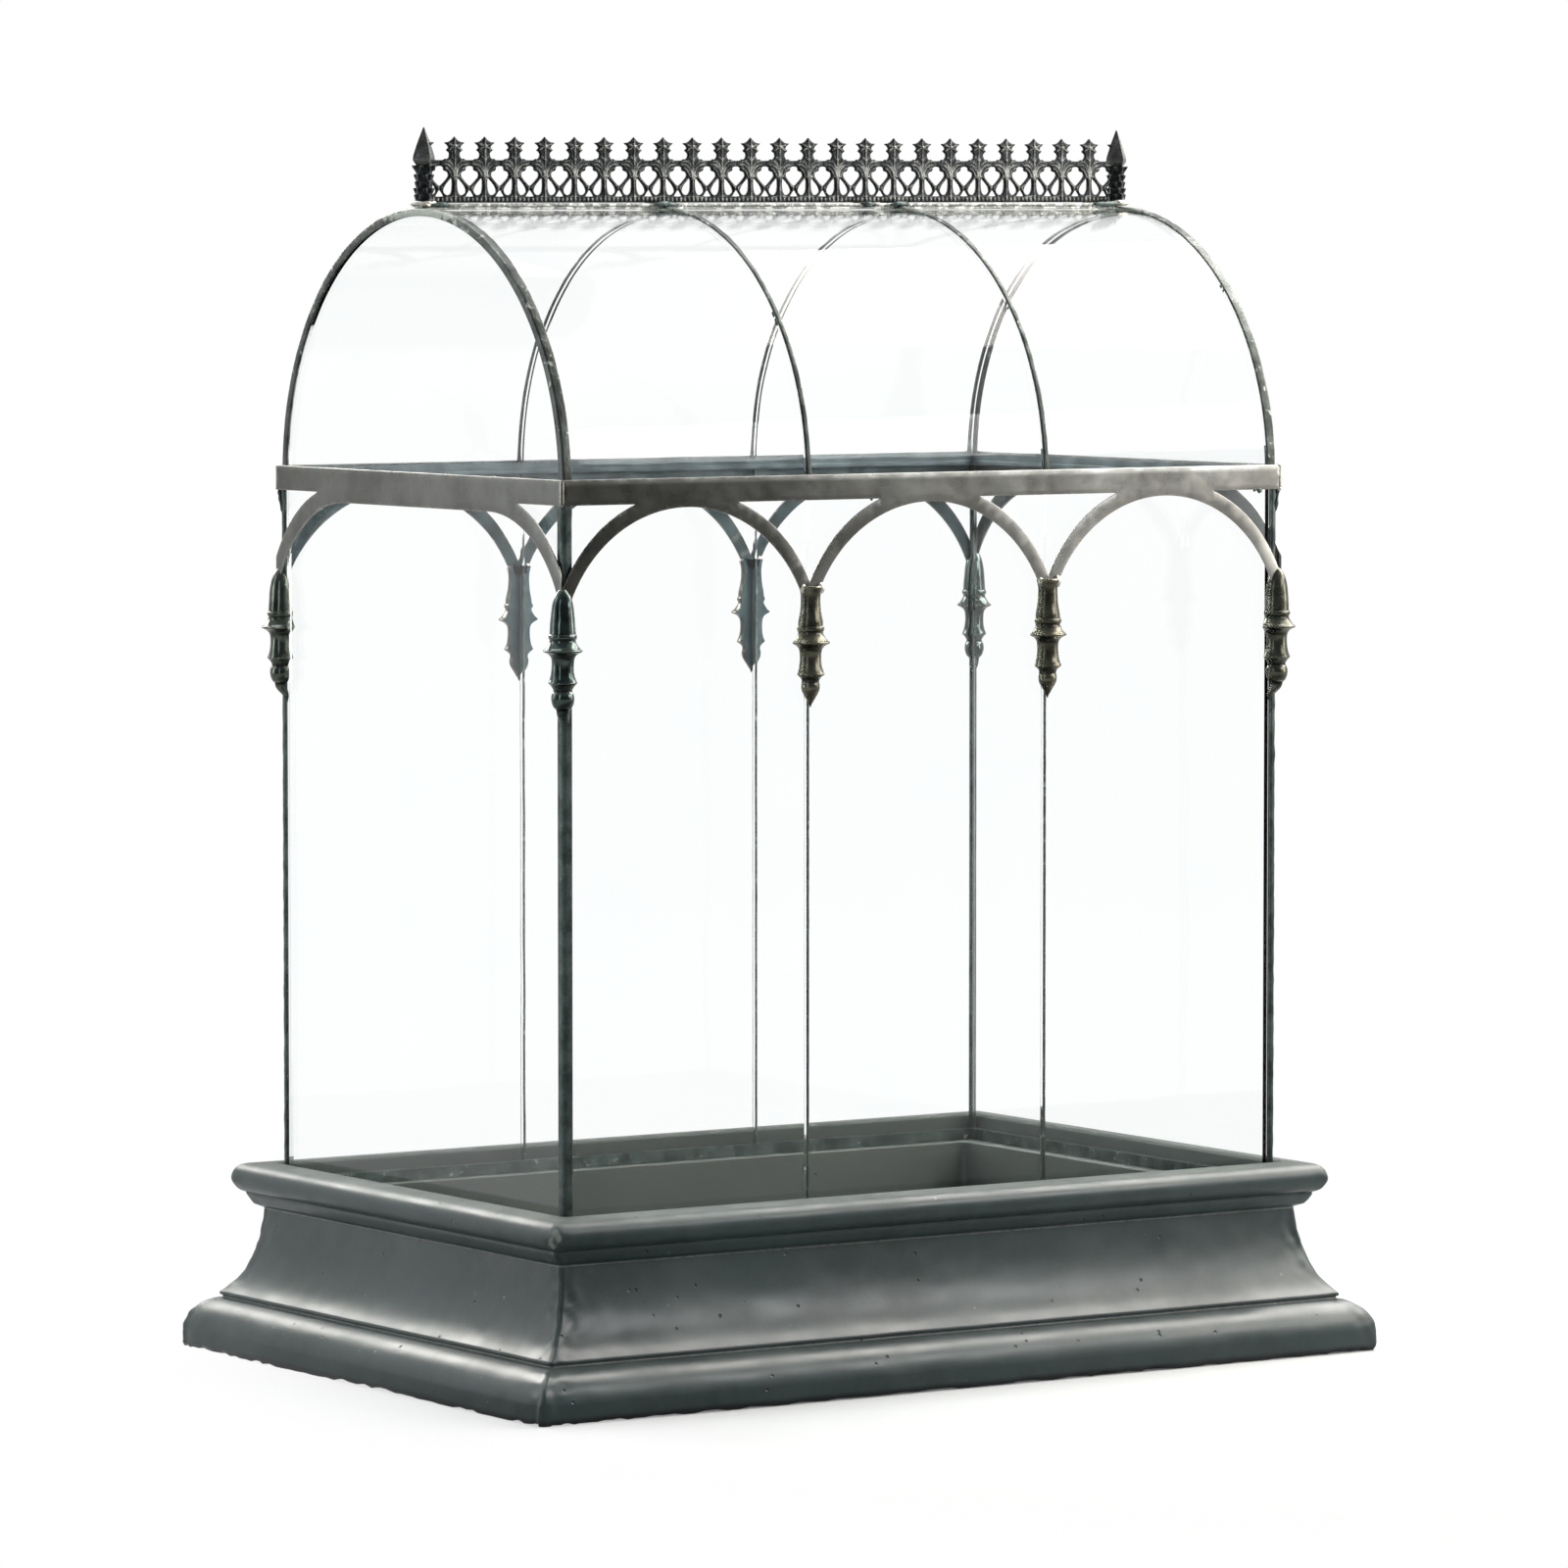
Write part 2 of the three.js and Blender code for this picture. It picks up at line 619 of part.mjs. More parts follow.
function crestingGeometry() {
  const point = (middle, [x, z]) => new THREE.Vector2(middle + x * crestPitch, z * crestHeight);
  const flip = (pairs) => pairs.map(([x, z]) => [-x, z]).reverse();
  const barTop = starShares[0][1] * crestHeight;
  const uprights = Array.from({ length: crestUnits }, (_, i) => (i - (crestUnits - 1) / 2) * crestPitch);

  // Each star from its left foot over the tip to its right foot.
  const starPairs = [...starShares.map(([x, z]) => [-x, z]), [0, 1], ...starShares.toReversed()];
  const stars = uprights.flatMap((x) => starPairs.map((pair) => point(x, pair)));
  const shape = new THREE.Shape([
    new THREE.Vector2(crestHalf, 0),
    new THREE.Vector2(crestHalf, barTop),
    ...stars.reverse(),
    new THREE.Vector2(-crestHalf, barTop),
    new THREE.Vector2(-crestHalf, 0),
  ]);
  const opening = (middle, pairs) => new THREE.Shape(pairs.map((pair) => point(middle, pair)));
  const middles = Array.from({ length: crestUnits + 1 }, (_, i) => (i - crestUnits / 2) * crestPitch);
  const openings = [
    ...uprights.flatMap((x) => [opening(x, eggShares), opening(x, flip(eggShares))]),
    ...middles.flatMap((x) => [opening(x, [...clubShares, ...flip(clubShares)]), opening(x, triangleShares)]),
  ];
  // The last openings stop short of the strip's ends.
  const last = crestHalf - crestEnd;
  const window = solid(block([-last, -2 * crestThickness, 0], [last, 2 * crestThickness, crestHeight]));
  const holes = cutter(openings, crestThickness).intersect(window);
  return shapeOf(solid(sheet(shape, crestThickness)).subtract(holes));
}
place(glasshouse, "cresting", crestingGeometry(), blackenedCast(), { y: crestThickness / 2, z: crestZ });

// Finials: a ringed stem and a collar under a four-sided spear.

function finialGeometry() {
  const { low, edge, high } = collarShares;
  const stem = finialShares.map(([r, h]) => new THREE.Vector2(r * finialStem, h * finialHeight));
  const axis = (share) => new THREE.Vector2(0, share * finialHeight);
  const collar = [low, edge, high].map((share, i) => {
    return new THREE.Vector2(i === 1 ? finialCollar : finialStem, share * finialHeight);
  });
  const { base, widest } = headShares;
  const head = [
    axis(edge),
    new THREE.Vector2(finialStem, edge * finialHeight),
    new THREE.Vector2(finialHead, ((base + widest) / 2) * finialHeight),
    new THREE.Vector2(finialHead, widest * finialHeight),
    axis(1),
  ];
  const shaft = solid(spindle([axis(0), ...stem, ...collar, axis(high)], turned));
  return shapeOf(shaft.add(solid(spindle(head, 4))));
}
place(glasshouse, "finial_right", finialGeometry(), blackenedCast(), { x: finialX, z: crestZ });
place(glasshouse, "finial_left", finialGeometry(), blackenedCast(), { x: -finialX, z: crestZ });

export default object;
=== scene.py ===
# %% [markdown]
# # A wardian case
#
# A leaded glasshouse with a barrel roof stands in a deep moulded tray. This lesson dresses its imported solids:
# the frame is loaded first, then come the camera and the light, the finishes, and one piece after another.
# Everything is in metres, X runs along the long side and the front faces -Y.

import bmesh
import bpy
import numpy as np
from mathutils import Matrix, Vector
from mathutils.geometry import delaunay_2d_cdt


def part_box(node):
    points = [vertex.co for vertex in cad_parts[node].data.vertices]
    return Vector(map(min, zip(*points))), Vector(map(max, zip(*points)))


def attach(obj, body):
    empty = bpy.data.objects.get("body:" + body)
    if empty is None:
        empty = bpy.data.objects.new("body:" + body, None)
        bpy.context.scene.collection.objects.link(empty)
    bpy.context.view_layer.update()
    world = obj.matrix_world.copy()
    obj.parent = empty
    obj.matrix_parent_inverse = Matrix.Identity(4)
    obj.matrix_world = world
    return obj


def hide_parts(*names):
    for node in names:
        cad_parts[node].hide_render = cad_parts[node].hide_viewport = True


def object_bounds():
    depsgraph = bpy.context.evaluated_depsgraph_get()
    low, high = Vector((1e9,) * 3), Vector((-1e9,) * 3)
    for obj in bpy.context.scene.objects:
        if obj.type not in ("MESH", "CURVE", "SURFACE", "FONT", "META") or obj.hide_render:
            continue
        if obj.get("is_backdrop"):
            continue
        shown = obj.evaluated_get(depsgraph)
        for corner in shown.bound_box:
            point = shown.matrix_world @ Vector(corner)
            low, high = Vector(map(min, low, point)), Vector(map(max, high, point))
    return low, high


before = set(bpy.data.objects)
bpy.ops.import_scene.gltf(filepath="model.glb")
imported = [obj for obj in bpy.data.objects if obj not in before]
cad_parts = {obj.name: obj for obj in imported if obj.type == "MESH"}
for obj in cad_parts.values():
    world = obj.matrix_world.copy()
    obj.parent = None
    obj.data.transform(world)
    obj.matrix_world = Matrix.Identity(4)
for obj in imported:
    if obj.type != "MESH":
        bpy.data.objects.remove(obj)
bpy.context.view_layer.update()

MM = 0.001
TURN = 2 * np.pi


def span(node):
    """The lowest and highest corner of a CAD node as two arrays."""
    low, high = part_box(node)
    return np.array(low), np.array(high)


# %% [markdown]
# ## Camera
#
# The photograph was taken from far away with a long lens, because upright edges hardly lean in it. The camera
# looks at a point near the middle of the case, from the left of the front and a little from above. It could be
# placed by trial, but its angles and distance were fitted to the corners of the case, so they are plain numbers here.

# %% Camera
AZIMUTH = np.radians(-33.37)
ELEVATION = np.radians(3.98)
DISTANCE = 4.5527
AIM_ASIDE = 2.54 * MM
AIM_HEIGHT = 302.1 * MM
IMAGE_WIDTH = 1600
FOCAL_PIXELS = 8728
SENSOR = 36

look = Vector((-np.sin(AZIMUTH) * np.cos(ELEVATION), np.cos(AZIMUTH) * np.cos(ELEVATION), -np.sin(ELEVATION)))
aside = Vector((np.cos(AZIMUTH), np.sin(AZIMUTH), 0))
camera = bpy.data.objects.new("camera", bpy.data.cameras.new("camera"))
camera.data.sensor_width = SENSOR
camera.data.lens = FOCAL_PIXELS / IMAGE_WIDTH * SENSOR
camera.location = aside * AIM_ASIDE + Vector((0, 0, AIM_HEIGHT)) - look * DISTANCE
camera.rotation_euler = look.to_track_quat("-Z", "Y").to_euler()
bpy.context.scene.collection.objects.link(camera)
bpy.context.scene.camera = camera
bpy.context.scene.view_settings.view_transform = "Standard"
print("camera at", [round(v, 3) for v in camera.location], "lens", round(camera.data.lens, 1))

# %% [markdown]
# ## Shader helpers
#
# A material in Blender is a small graph. These helpers keep each graph readable: one adds a node and wires its
# inputs, one blends two colours, one turns a smooth value into a mask, and one starts a node group, which is how
# several finishes share one effect.


# %% Shader helpers
def tone(code):
    """A colour from its six hex digits, turned from screen values to the linear values that shaders use."""
    screen = np.array([code >> 16 & 255, code >> 8 & 255, code & 255]) / 255
    linear = np.where(screen <= 0.04045, screen / 12.92, ((screen + 0.055) / 1.055) ** 2.4)
    return (*linear, 1)


def node(tree, kind, inputs=None, **settings):
    """Adds a node, sets its properties, and gives each input a value or a wire from another node's output."""
    made = tree.nodes.new("ShaderNode" + kind)
    for name, value in settings.items():
        setattr(made, name, value)
    for name, value in (inputs or {}).items():
        if isinstance(value, bpy.types.NodeSocket):
            tree.links.new(value, made.inputs[name])
        else:
            made.inputs[name].default_value = value
    return made


def sums(tree, operation, a, b):
    """One step of arithmetic between two values or sockets."""
    return node(tree, "Math", {0: a, 1: b}, operation=operation).outputs[0]


def blend(tree, amount, low, high):
    """The colour low where amount is 0 and high where it is 1."""
    return node(tree, "Mix", {0: amount, 6: low, 7: high}, data_type="RGBA").outputs[2]


def mask(tree, value, start, end, low=0.0, high=1.0):
    """A soft step: low up to start, high from end on."""
    inputs = {"Value": value, "From Min": start, "From Max": end, "To Min": low, "To Max": high}
    return node(tree, "MapRange", inputs, interpolation_type="SMOOTHSTEP").outputs[0]


def noise(tree, place, size, detail=3.0, roughness=0.55):
    """Smooth noise from 0 to 1 whose spots are about as wide as size. Size is a length or a socket."""
    if isinstance(size, bpy.types.NodeSocket):
        scale = sums(tree, "DIVIDE", 1.0, size)
    else:
        scale = 1 / size
    inputs = {"Vector": place, "Scale": scale, "Detail": detail, "Roughness": roughness}
    return node(tree, "TexNoise", inputs).outputs[0]


def effect(name, inputs, outputs):
    """Starts a node group and returns its tree, its inputs by name and the node that takes its outputs."""
    tree = bpy.data.node_groups.new(name, "ShaderNodeTree")
    for label, kind in inputs.items():
        tree.interface.new_socket(label, in_out="INPUT", socket_type="NodeSocket" + kind)
    for label, kind in outputs.items():
        tree.interface.new_socket(label, in_out="OUTPUT", socket_type="NodeSocket" + kind)
    return tree, tree.nodes.new("NodeGroupInput").outputs, tree.nodes.new("NodeGroupOutput").inputs


def use(tree, group, **inputs):
    """Places an effect in a material, with its own values, and returns its outputs."""
    made = tree.nodes.new("ShaderNodeGroup")
    made.node_tree = group
    for label, value in inputs.items():
        socket = made.inputs[label.replace("_", " ")]
        if isinstance(value, bpy.types.NodeSocket):
            tree.links.new(value, socket)
        else:
            socket.default_value = value
    return made.outputs


print("shader helpers ready")

# %% [markdown]
# ## Floor, world and lamps
#
# The ground in the photograph is plain white and keeps only a faint shadow. The floor is a pale surface that turns
# into the white of the world away from the case. White is shown to the camera, to reflections and to the glass
# through Light Path, while the lamps stay at a level at which a colour comes out about as it is written. In white
# all round, dark metal would look pale, so on the camera's side of the room, what a surface mirrors is dim, as in a
# studio. A ray that comes through a pane still finds white there, or the glass would look grey from behind.

# %% Floor and world
WHITE = (1, 1, 1, 1)
FLOOR_HALF = 6.0
FLOOR_DROP = 0.2 * MM
FLOOR_TONE, FLOOR_MIRRORED = 0xAEAFAF, 0x3C3E3E
FLOOR_LIFT = 0.1
SHADOW_CENTRE = (0.2, -0.2, 0.0)
SHADOW_ENDS = (0.3, 0.62)  # metres from the shadow's centre between which the floor turns white
NEAR_RING, FAR_RING = (0.6, 1.0), (2.2, 3.2)  # between them the mirrored floor is a little lighter
RING_DIM = 0.75
ROOM_SIDE = (float(np.sin(AZIMUTH)), float(-np.cos(AZIMUTH)), 0.0)
FLOOR_SIDE, WORLD_SIDE = (-0.2, 0.4), (0.24, 0.44)  # how far round towards the camera the dim side starts and ends
ROOM_LOW, ROOM_HIGH = (0.1, 0.1, 0.1, 1), 0x98A0A4
CEILING = 0.6
FILL, FILL_TONE = 0.4, 0xF2F7FB


def seen(tree):
    """1 where a ray from the camera, a reflection or a pane asks for the background, 0 for light on a surface."""
    path = tree.nodes.new("ShaderNodeLightPath").outputs
    first = sums(tree, "MAXIMUM", path["Is Camera Ray"], path["Is Glossy Ray"])
    return sums(tree, "MAXIMUM", first, path["Is Transmission Ray"])


def mirrored(tree):
    """1 for a ray that a surface has mirrored, 0 for one that has last gone through a pane."""
    path = tree.nodes.new("ShaderNodeLightPath").outputs
    return sums(tree, "MULTIPLY", path["Is Glossy Ray"], sums(tree, "SUBTRACT", 1.0, path["Is Transmission Ray"]))


def floor_material():
    """Pale and matt near the case, the background's own white further off, and dim where metal mirrors it from the
    camera's side."""
    material = bpy.data.materials.new("pale_floor")
    material.use_nodes = True
    tree = material.node_tree
    tree.nodes.clear()
    place = tree.nodes.new("ShaderNodeTexCoord").outputs["Object"]
    towards_room = node(tree, "VectorMath", {0: place, 1: ROOM_SIDE}, operation="DOT_PRODUCT").outputs["Value"]
    dim = sums(tree, "MULTIPLY", mask(tree, towards_room, *FLOOR_SIDE), mirrored(tree))
    matt = node(tree, "BsdfDiffuse", {"Color": blend(tree, dim, tone(FLOOR_TONE), tone(FLOOR_MIRRORED))}).outputs[0]
    lift = node(tree, "Emission", {"Color": WHITE, "Strength": sums(tree, "MULTIPLY", seen(tree), FLOOR_LIFT)})
    near = node(tree, "AddShader", {0: matt, 1: lift.outputs[0]}).outputs[0]
    reach = node(tree, "VectorMath", {0: place, 1: SHADOW_CENTRE}, operation="DISTANCE").outputs["Value"]
    shade = sums(tree, "SUBTRACT", mask(tree, reach, *FAR_RING), mask(tree, reach, *NEAR_RING))
    shade = sums(tree, "ADD", RING_DIM, sums(tree, "MULTIPLY", shade, RING_DIM))
    strength = sums(tree, "SUBTRACT", 1.0, sums(tree, "MULTIPLY", dim, shade))
    white = node(tree, "Emission", {"Color": WHITE, "Strength": strength}).outputs[0]
    away = sums(tree, "MULTIPLY", mask(tree, reach, *SHADOW_ENDS), seen(tree))
    surface = node(tree, "MixShader", {0: away, 1: near, 2: white}).outputs[0]
    node(tree, "OutputMaterial", {"Surface": surface})
    return material


corners = np.array([[-1, -1], [1, -1], [1, 1], [-1, 1]]) * FLOOR_HALF
floor_mesh = bpy.data.meshes.new("floor")
floor_mesh.from_pydata([(x, y, -FLOOR_DROP) for x, y in corners], [], [(0, 1, 2, 3)])
floor_mesh.materials.append(floor_material())
floor = bpy.data.objects.new("floor", floor_mesh)
bpy.context.scene.collection.objects.link(floor)
floor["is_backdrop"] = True

world = bpy.data.worlds.new("studio")
bpy.context.scene.world = world
world.use_nodes = True
sky = world.node_tree
sky.nodes.clear()
direction = sky.nodes.new("ShaderNodeTexCoord").outputs["Generated"]
towards_room = node(sky, "VectorMath", {0: direction, 1: ROOM_SIDE}, operation="DOT_PRODUCT").outputs["Value"]
dim = sums(sky, "MULTIPLY", mask(sky, towards_room, *WORLD_SIDE), mirrored(sky))
upward = node(sky, "SeparateXYZ", {0: direction}).outputs[2]
room = blend(sky, mask(sky, upward, 0.0, CEILING), ROOM_LOW, tone(ROOM_HIGH))
backdrop = node(sky, "Background", {"Color": blend(sky, dim, WHITE, room), "Strength": 1.0}).outputs[0]
fill = node(sky, "Background", {"Color": tone(FILL_TONE), "Strength": FILL}).outputs[0]
surface = node(sky, "MixShader", {0: seen(sky), 1: fill, 2: backdrop}).outputs[0]
node(sky, "OutputWorld", {"Surface": surface})
print("floor and world made, fill", FILL)

# %% [markdown]
# The lamps are soft boxes, as the broad highlights with soft ends show. A large one on the right lights the cove of
# the tray from above, one behind on the left is mirrored by the left side near the front corner, tall thin ones edge
# the strips, and the largest hangs overhead. None stands where a flat pane would mirror it into the camera.


# %% Lamps
def softbox(name, place, aim, width, height, power, colour):
    """A rectangular soft lamp at place that shines at aim."""
    data = bpy.data.lights.new(name, "AREA")
    data.shape = "RECTANGLE"
    data.size, data.size_y = width, height
    data.energy = power
    data.color = tone(colour)[:3]
    lamp = bpy.data.objects.new(name, data)
    lamp.location = place
    lamp.rotation_euler = (Vector(aim) - Vector(place)).to_track_quat("-Z", "Y").to_euler()
    bpy.context.scene.collection.objects.link(lamp)
    return lamp


LAMPS = [
    # (name, place, what it is aimed at, width, height, power in watts, colour)
    ("right_softbox", (0.78, -0.12, 1.05), (0.05, -0.17, 0.05), 0.8, 0.9, 26, 0xFFFAF4),
    ("back_softbox", (-0.35, 1.15, 0.95), (-0.22, -0.1, 0.05), 0.5, 0.6, 12, 0xFFFDF6),
    ("right_strip", (0.92, -0.62, 0.6), (0.0, -0.1, 0.5), 0.3, 0.65, 4.5, 0xFFF6EA),
    ("left_strip", (-0.9, 0.45, 0.6), (-0.1, -0.05, 0.5), 0.22, 0.65, 2.2, 0xF2FAFF),
    ("left_front_strip", (-0.95, -0.5, 0.6), (-0.1, -0.1, 0.5), 0.1, 0.65, 1.2, 0xEAF6FF),
    ("top_softbox", (-0.1, 0.5, 1.8), (0, -0.05, 0), 1.4, 1.0, 24, 0xFFFFFF),
    ("front_softbox", (0.72, -1.1, 0.78), (0.05, -0.18, 0.06), 0.55, 0.35, 4.6, 0xFFFFFF),
]
for settings in LAMPS:
    softbox(*settings)
print("lamps:", ", ".join(f"{settings[0]} {settings[5]} W" for settings in LAMPS))

# %% [markdown]
# ## Shared effects
#
# Old metal and paint look alike in a few ways: clouds of tone, small pits, blotches of bright solder, rubbed
# arrises and dust on what faces up. Each effect is a node group with named inputs, built once and used in several
# finishes with other sizes.


# %% Clouds of tone
def build_clouds():
    """Two sizes of noise: broad soft clouds and finer speckles inside them."""
    tree, given, out = effect("clouds", {"Place": "Vector", "Size": "Float"}, {"Cloud": "Float", "Speckle": "Float"})
    broad = noise(tree, given["Place"], given["Size"], detail=4)
    fine = noise(tree, given["Place"], sums(tree, "MULTIPLY", given["Size"], 0.14), detail=5, roughness=0.65)
    tree.links.new(mask(tree, broad, 0.32, 0.68), out["Cloud"])
    tree.links.new(mask(tree, fine, 0.35, 0.68), out["Speckle"])
    return tree


# %% Rolled grain
def build_grain():
    """Noise drawn out along the sheet, whichever wall it stands in, and fine across its height."""
    inputs = {"Place": "Vector", "Length": "Float", "Width": "Float"}
    tree, given, out = effect("rolled_grain", inputs, {"Grain": "Float"})
    parts = node(tree, "SeparateXYZ", {0: given["Place"]}).outputs
    along = sums(tree, "DIVIDE", sums(tree, "ADD", parts[0], parts[1]), given["Length"])
    across = sums(tree, "DIVIDE", parts[2], given["Width"])
    stretched = node(tree, "CombineXYZ", {0: along, 1: 0.0, 2: across}).outputs[0]
    tree.links.new(noise(tree, stretched, 1.0, detail=3, roughness=0.6), out["Grain"])
    return tree


# %% Casting pits
def build_pits():
    """Small round hollows in random places: a share of the cells of a random pattern has one at its middle."""
    inputs = {"Place": "Vector", "Size": "Float", "Share": "Float"}
    tree, given, out = effect("casting_pits", inputs, {"Pit": "Float"})
    scale = sums(tree, "DIVIDE", 1.0, given["Size"])
    cells = node(tree, "TexVoronoi", {"Vector": given["Place"], "Scale": scale}).outputs
    hollow = mask(tree, cells["Distance"], 0.1, 0.28, 1.0, 0.0)
    chosen = node(tree, "SeparateColor", {0: cells["Color"]}).outputs[0]
    kept = mask(tree, sums(tree, "SUBTRACT", given["Share"], chosen), 0.0, 0.02)
    tree.links.new(sums(tree, "MULTIPLY", hollow, kept), out["Pit"])
    return tree


# %% Solder blotches
def build_blotches():
    """Irregular bright patches with a crisp edge, as where solder has been wiped over a joint."""
    inputs = {"Place": "Vector", "Size": "Float", "Share": "Float"}
    tree, given, out = effect("solder_blotches", inputs, {"Bright": "Float", "Swell": "Float"})
    broad = noise(tree, given["Place"], given["Size"], detail=5, roughness=0.6)
    level = sums(tree, "SUBTRACT", 0.85, sums(tree, "MULTIPLY", given["Share"], 0.7))
    over = sums(tree, "SUBTRACT", broad, level)
    tree.links.new(mask(tree, over, 0.0, 0.06), out["Bright"])
    tree.links.new(broad, out["Swell"])
    return tree


# %% Rubbed edges
def build_rubbed():
    """Turns the piece's own edge value into a broken line of wear."""
    inputs = {"Edge": "Float", "Place": "Vector", "Amount": "Float"}
    tree, given, out = effect("rubbed_edges", inputs, {"Worn": "Float"})
    broken = noise(tree, given["Place"], 4 * MM, detail=5, roughness=0.7)
    height = sums(tree, "ADD", given["Edge"], sums(tree, "MULTIPLY", sums(tree, "SUBTRACT", broken, 0.5), 1.1))
    worn = mask(tree, height, 0.45, 0.95)
    tree.links.new(sums(tree, "MULTIPLY", worn, given["Amount"]), out["Worn"])
    return tree


# %% Settled dust
def build_dust():
    """Pale dust on what faces up, patchy by a soft noise."""
    tree, given, out = effect("settled_dust", {"Normal": "Vector", "Place": "Vector"}, {"Dust": "Float"})
    upward = node(tree, "SeparateXYZ", {0: given["Normal"]}).outputs[2]
    patch = noise(tree, given["Place"], 22 * MM, detail=4)
    tree.links.new(sums(tree, "MULTIPLY", mask(tree, upward, 0.25, 0.95), mask(tree, patch, 0.3, 0.75)), out["Dust"])
    return tree


CLOUDS = build_clouds()
GRAIN = build_grain()
PITS = build_pits()
BLOTCHES = build_blotches()
RUBBED = build_rubbed()
DUST = build_dust()
print("effects:", ", ".join(group.name for group in bpy.data.node_groups))

# %% [markdown]
# ## Finishes
#
# There are six kinds: the satin slate paint of the tray, the aged brown-grey sheet of the arcades, the dark solder
# skin of the strips, the polished pewter of the capitals, the blackened casting of cresting and finials, and clear
# glass. The skin has four more mixes: bright solder, the darker ribs, the mullions and the tinned ridge. A single
# colour would look like plastic, so each finish is a base tone with other colours laid over it by masks, and a fine
# relief. Some masks are marks that a mesh carries, such as its arrises or its inner side. Values on the shader that
# don't vary stay on its own sockets.


# %% A finish to start from
def start(name, metal=0.0):
    """A new material with its tree, its shader and the place on the object."""
    material = bpy.data.materials.new(name)
    material.use_nodes = True
    tree = material.node_tree
    shader = tree.nodes["Principled BSDF"]
    shader.inputs["Metallic"].default_value = metal
    place = tree.nodes.new("ShaderNodeTexCoord").outputs["Object"]
    return material, tree, shader, place


def marked(tree, name):
    """A value that the mesh carries at each of its points."""
    return node(tree, "Attribute", attribute_name=name).outputs["Fac"]


def relief(tree, height, depth, under=None):
    """The normal of a bump of a given depth in metres, over another bump where one is given."""
    inputs = {"Height": height, "Distance": depth, "Strength": 1.0}
    if under is not None:
        inputs["Normal"] = under
    return node(tree, "Bump", inputs).outputs[0]


def laid(tree, under, over, amount, strength=1.0):
    """One colour laid over another: nothing where amount is 0, and as much as strength where it is 1."""
    if strength < 1:
        amount = sums(tree, "MULTIPLY", amount, strength)
    return blend(tree, amount, under, over)


def set_inputs(tree, shader, **sockets):
    """Wires colours, roughness and the like into the shader."""
    for label, value in sockets.items():
        tree.links.new(value, shader.inputs[label.replace("_", " ")])


# %% Slate paint of the tray
def slate_paint():
    """Blue-grey satin paint over a cast body: clouds, dark pits, pale specks, dust and rubbed arrises. Near black along
    the lowest millimetres of the foot, deeper where its edge is raised, is a painted shade where the tray meets the
    floor; a dark crack at the near rim corner shares that mark. The inside is duller and less blue."""
    material, tree, shader, place = start("slate_paint")
    normal = tree.nodes.new("ShaderNodeNewGeometry").outputs["Normal"]
    clouds = use(tree, CLOUDS, Place=place, Size=90 * MM)
    worn = use(tree, RUBBED, Edge=marked(tree, "arris"), Place=place, Amount=0.45)["Worn"]
    pits = use(tree, PITS, Place=place, Size=4 * MM, Share=0.035)["Pit"]
    specks = use(tree, PITS, Place=place, Size=5 * MM, Share=0.012)["Pit"]
    dust = use(tree, DUST, Normal=normal, Place=place)["Dust"]
    inside = marked(tree, "inside")

    colour = blend(tree, clouds["Cloud"], tone(0x222D2D), tone(0x2B3838))
    colour = laid(tree, colour, tone(0x344142), clouds["Speckle"], strength=0.35)
    colour = laid(tree, colour, tone(0x252C28), inside)
    colour = laid(tree, colour, tone(0x8E8F88), dust, strength=0.1)
    colour = laid(tree, colour, tone(0x8B908A), worn)
    colour = laid(tree, colour, tone(0xA3A69C), specks, strength=0.6)
    colour = laid(tree, colour, tone(0x161A1B), pits)
    # Near black: painted shade along the foot where it meets the floor, and the dark crack at the near rim corner.
    colour = laid(tree, colour, tone(0x101314), marked(tree, "grime"))

    smear = noise(tree, place, 35 * MM, detail=4)
    rough = mask(tree, smear, 0.3, 0.7, low=0.3, high=0.42)
    rough = sums(tree, "ADD", rough, sums(tree, "MULTIPLY", inside, 0.3))
    brushed = noise(tree, place, 3.2 * MM, detail=4, roughness=0.7)
    brushed = relief(tree, brushed, mask(tree, inside, 0.0, 1.0, low=0.035 * MM, high=0.008 * MM))
    pitted = relief(tree, sums(tree, "SUBTRACT", 1.0, pits), 0.5 * MM, under=brushed)
    set_inputs(tree, shader, Base_Color=colour, Roughness=rough, Normal=pitted)
    shader.inputs["Specular IOR Level"].default_value = 0.46
    return material


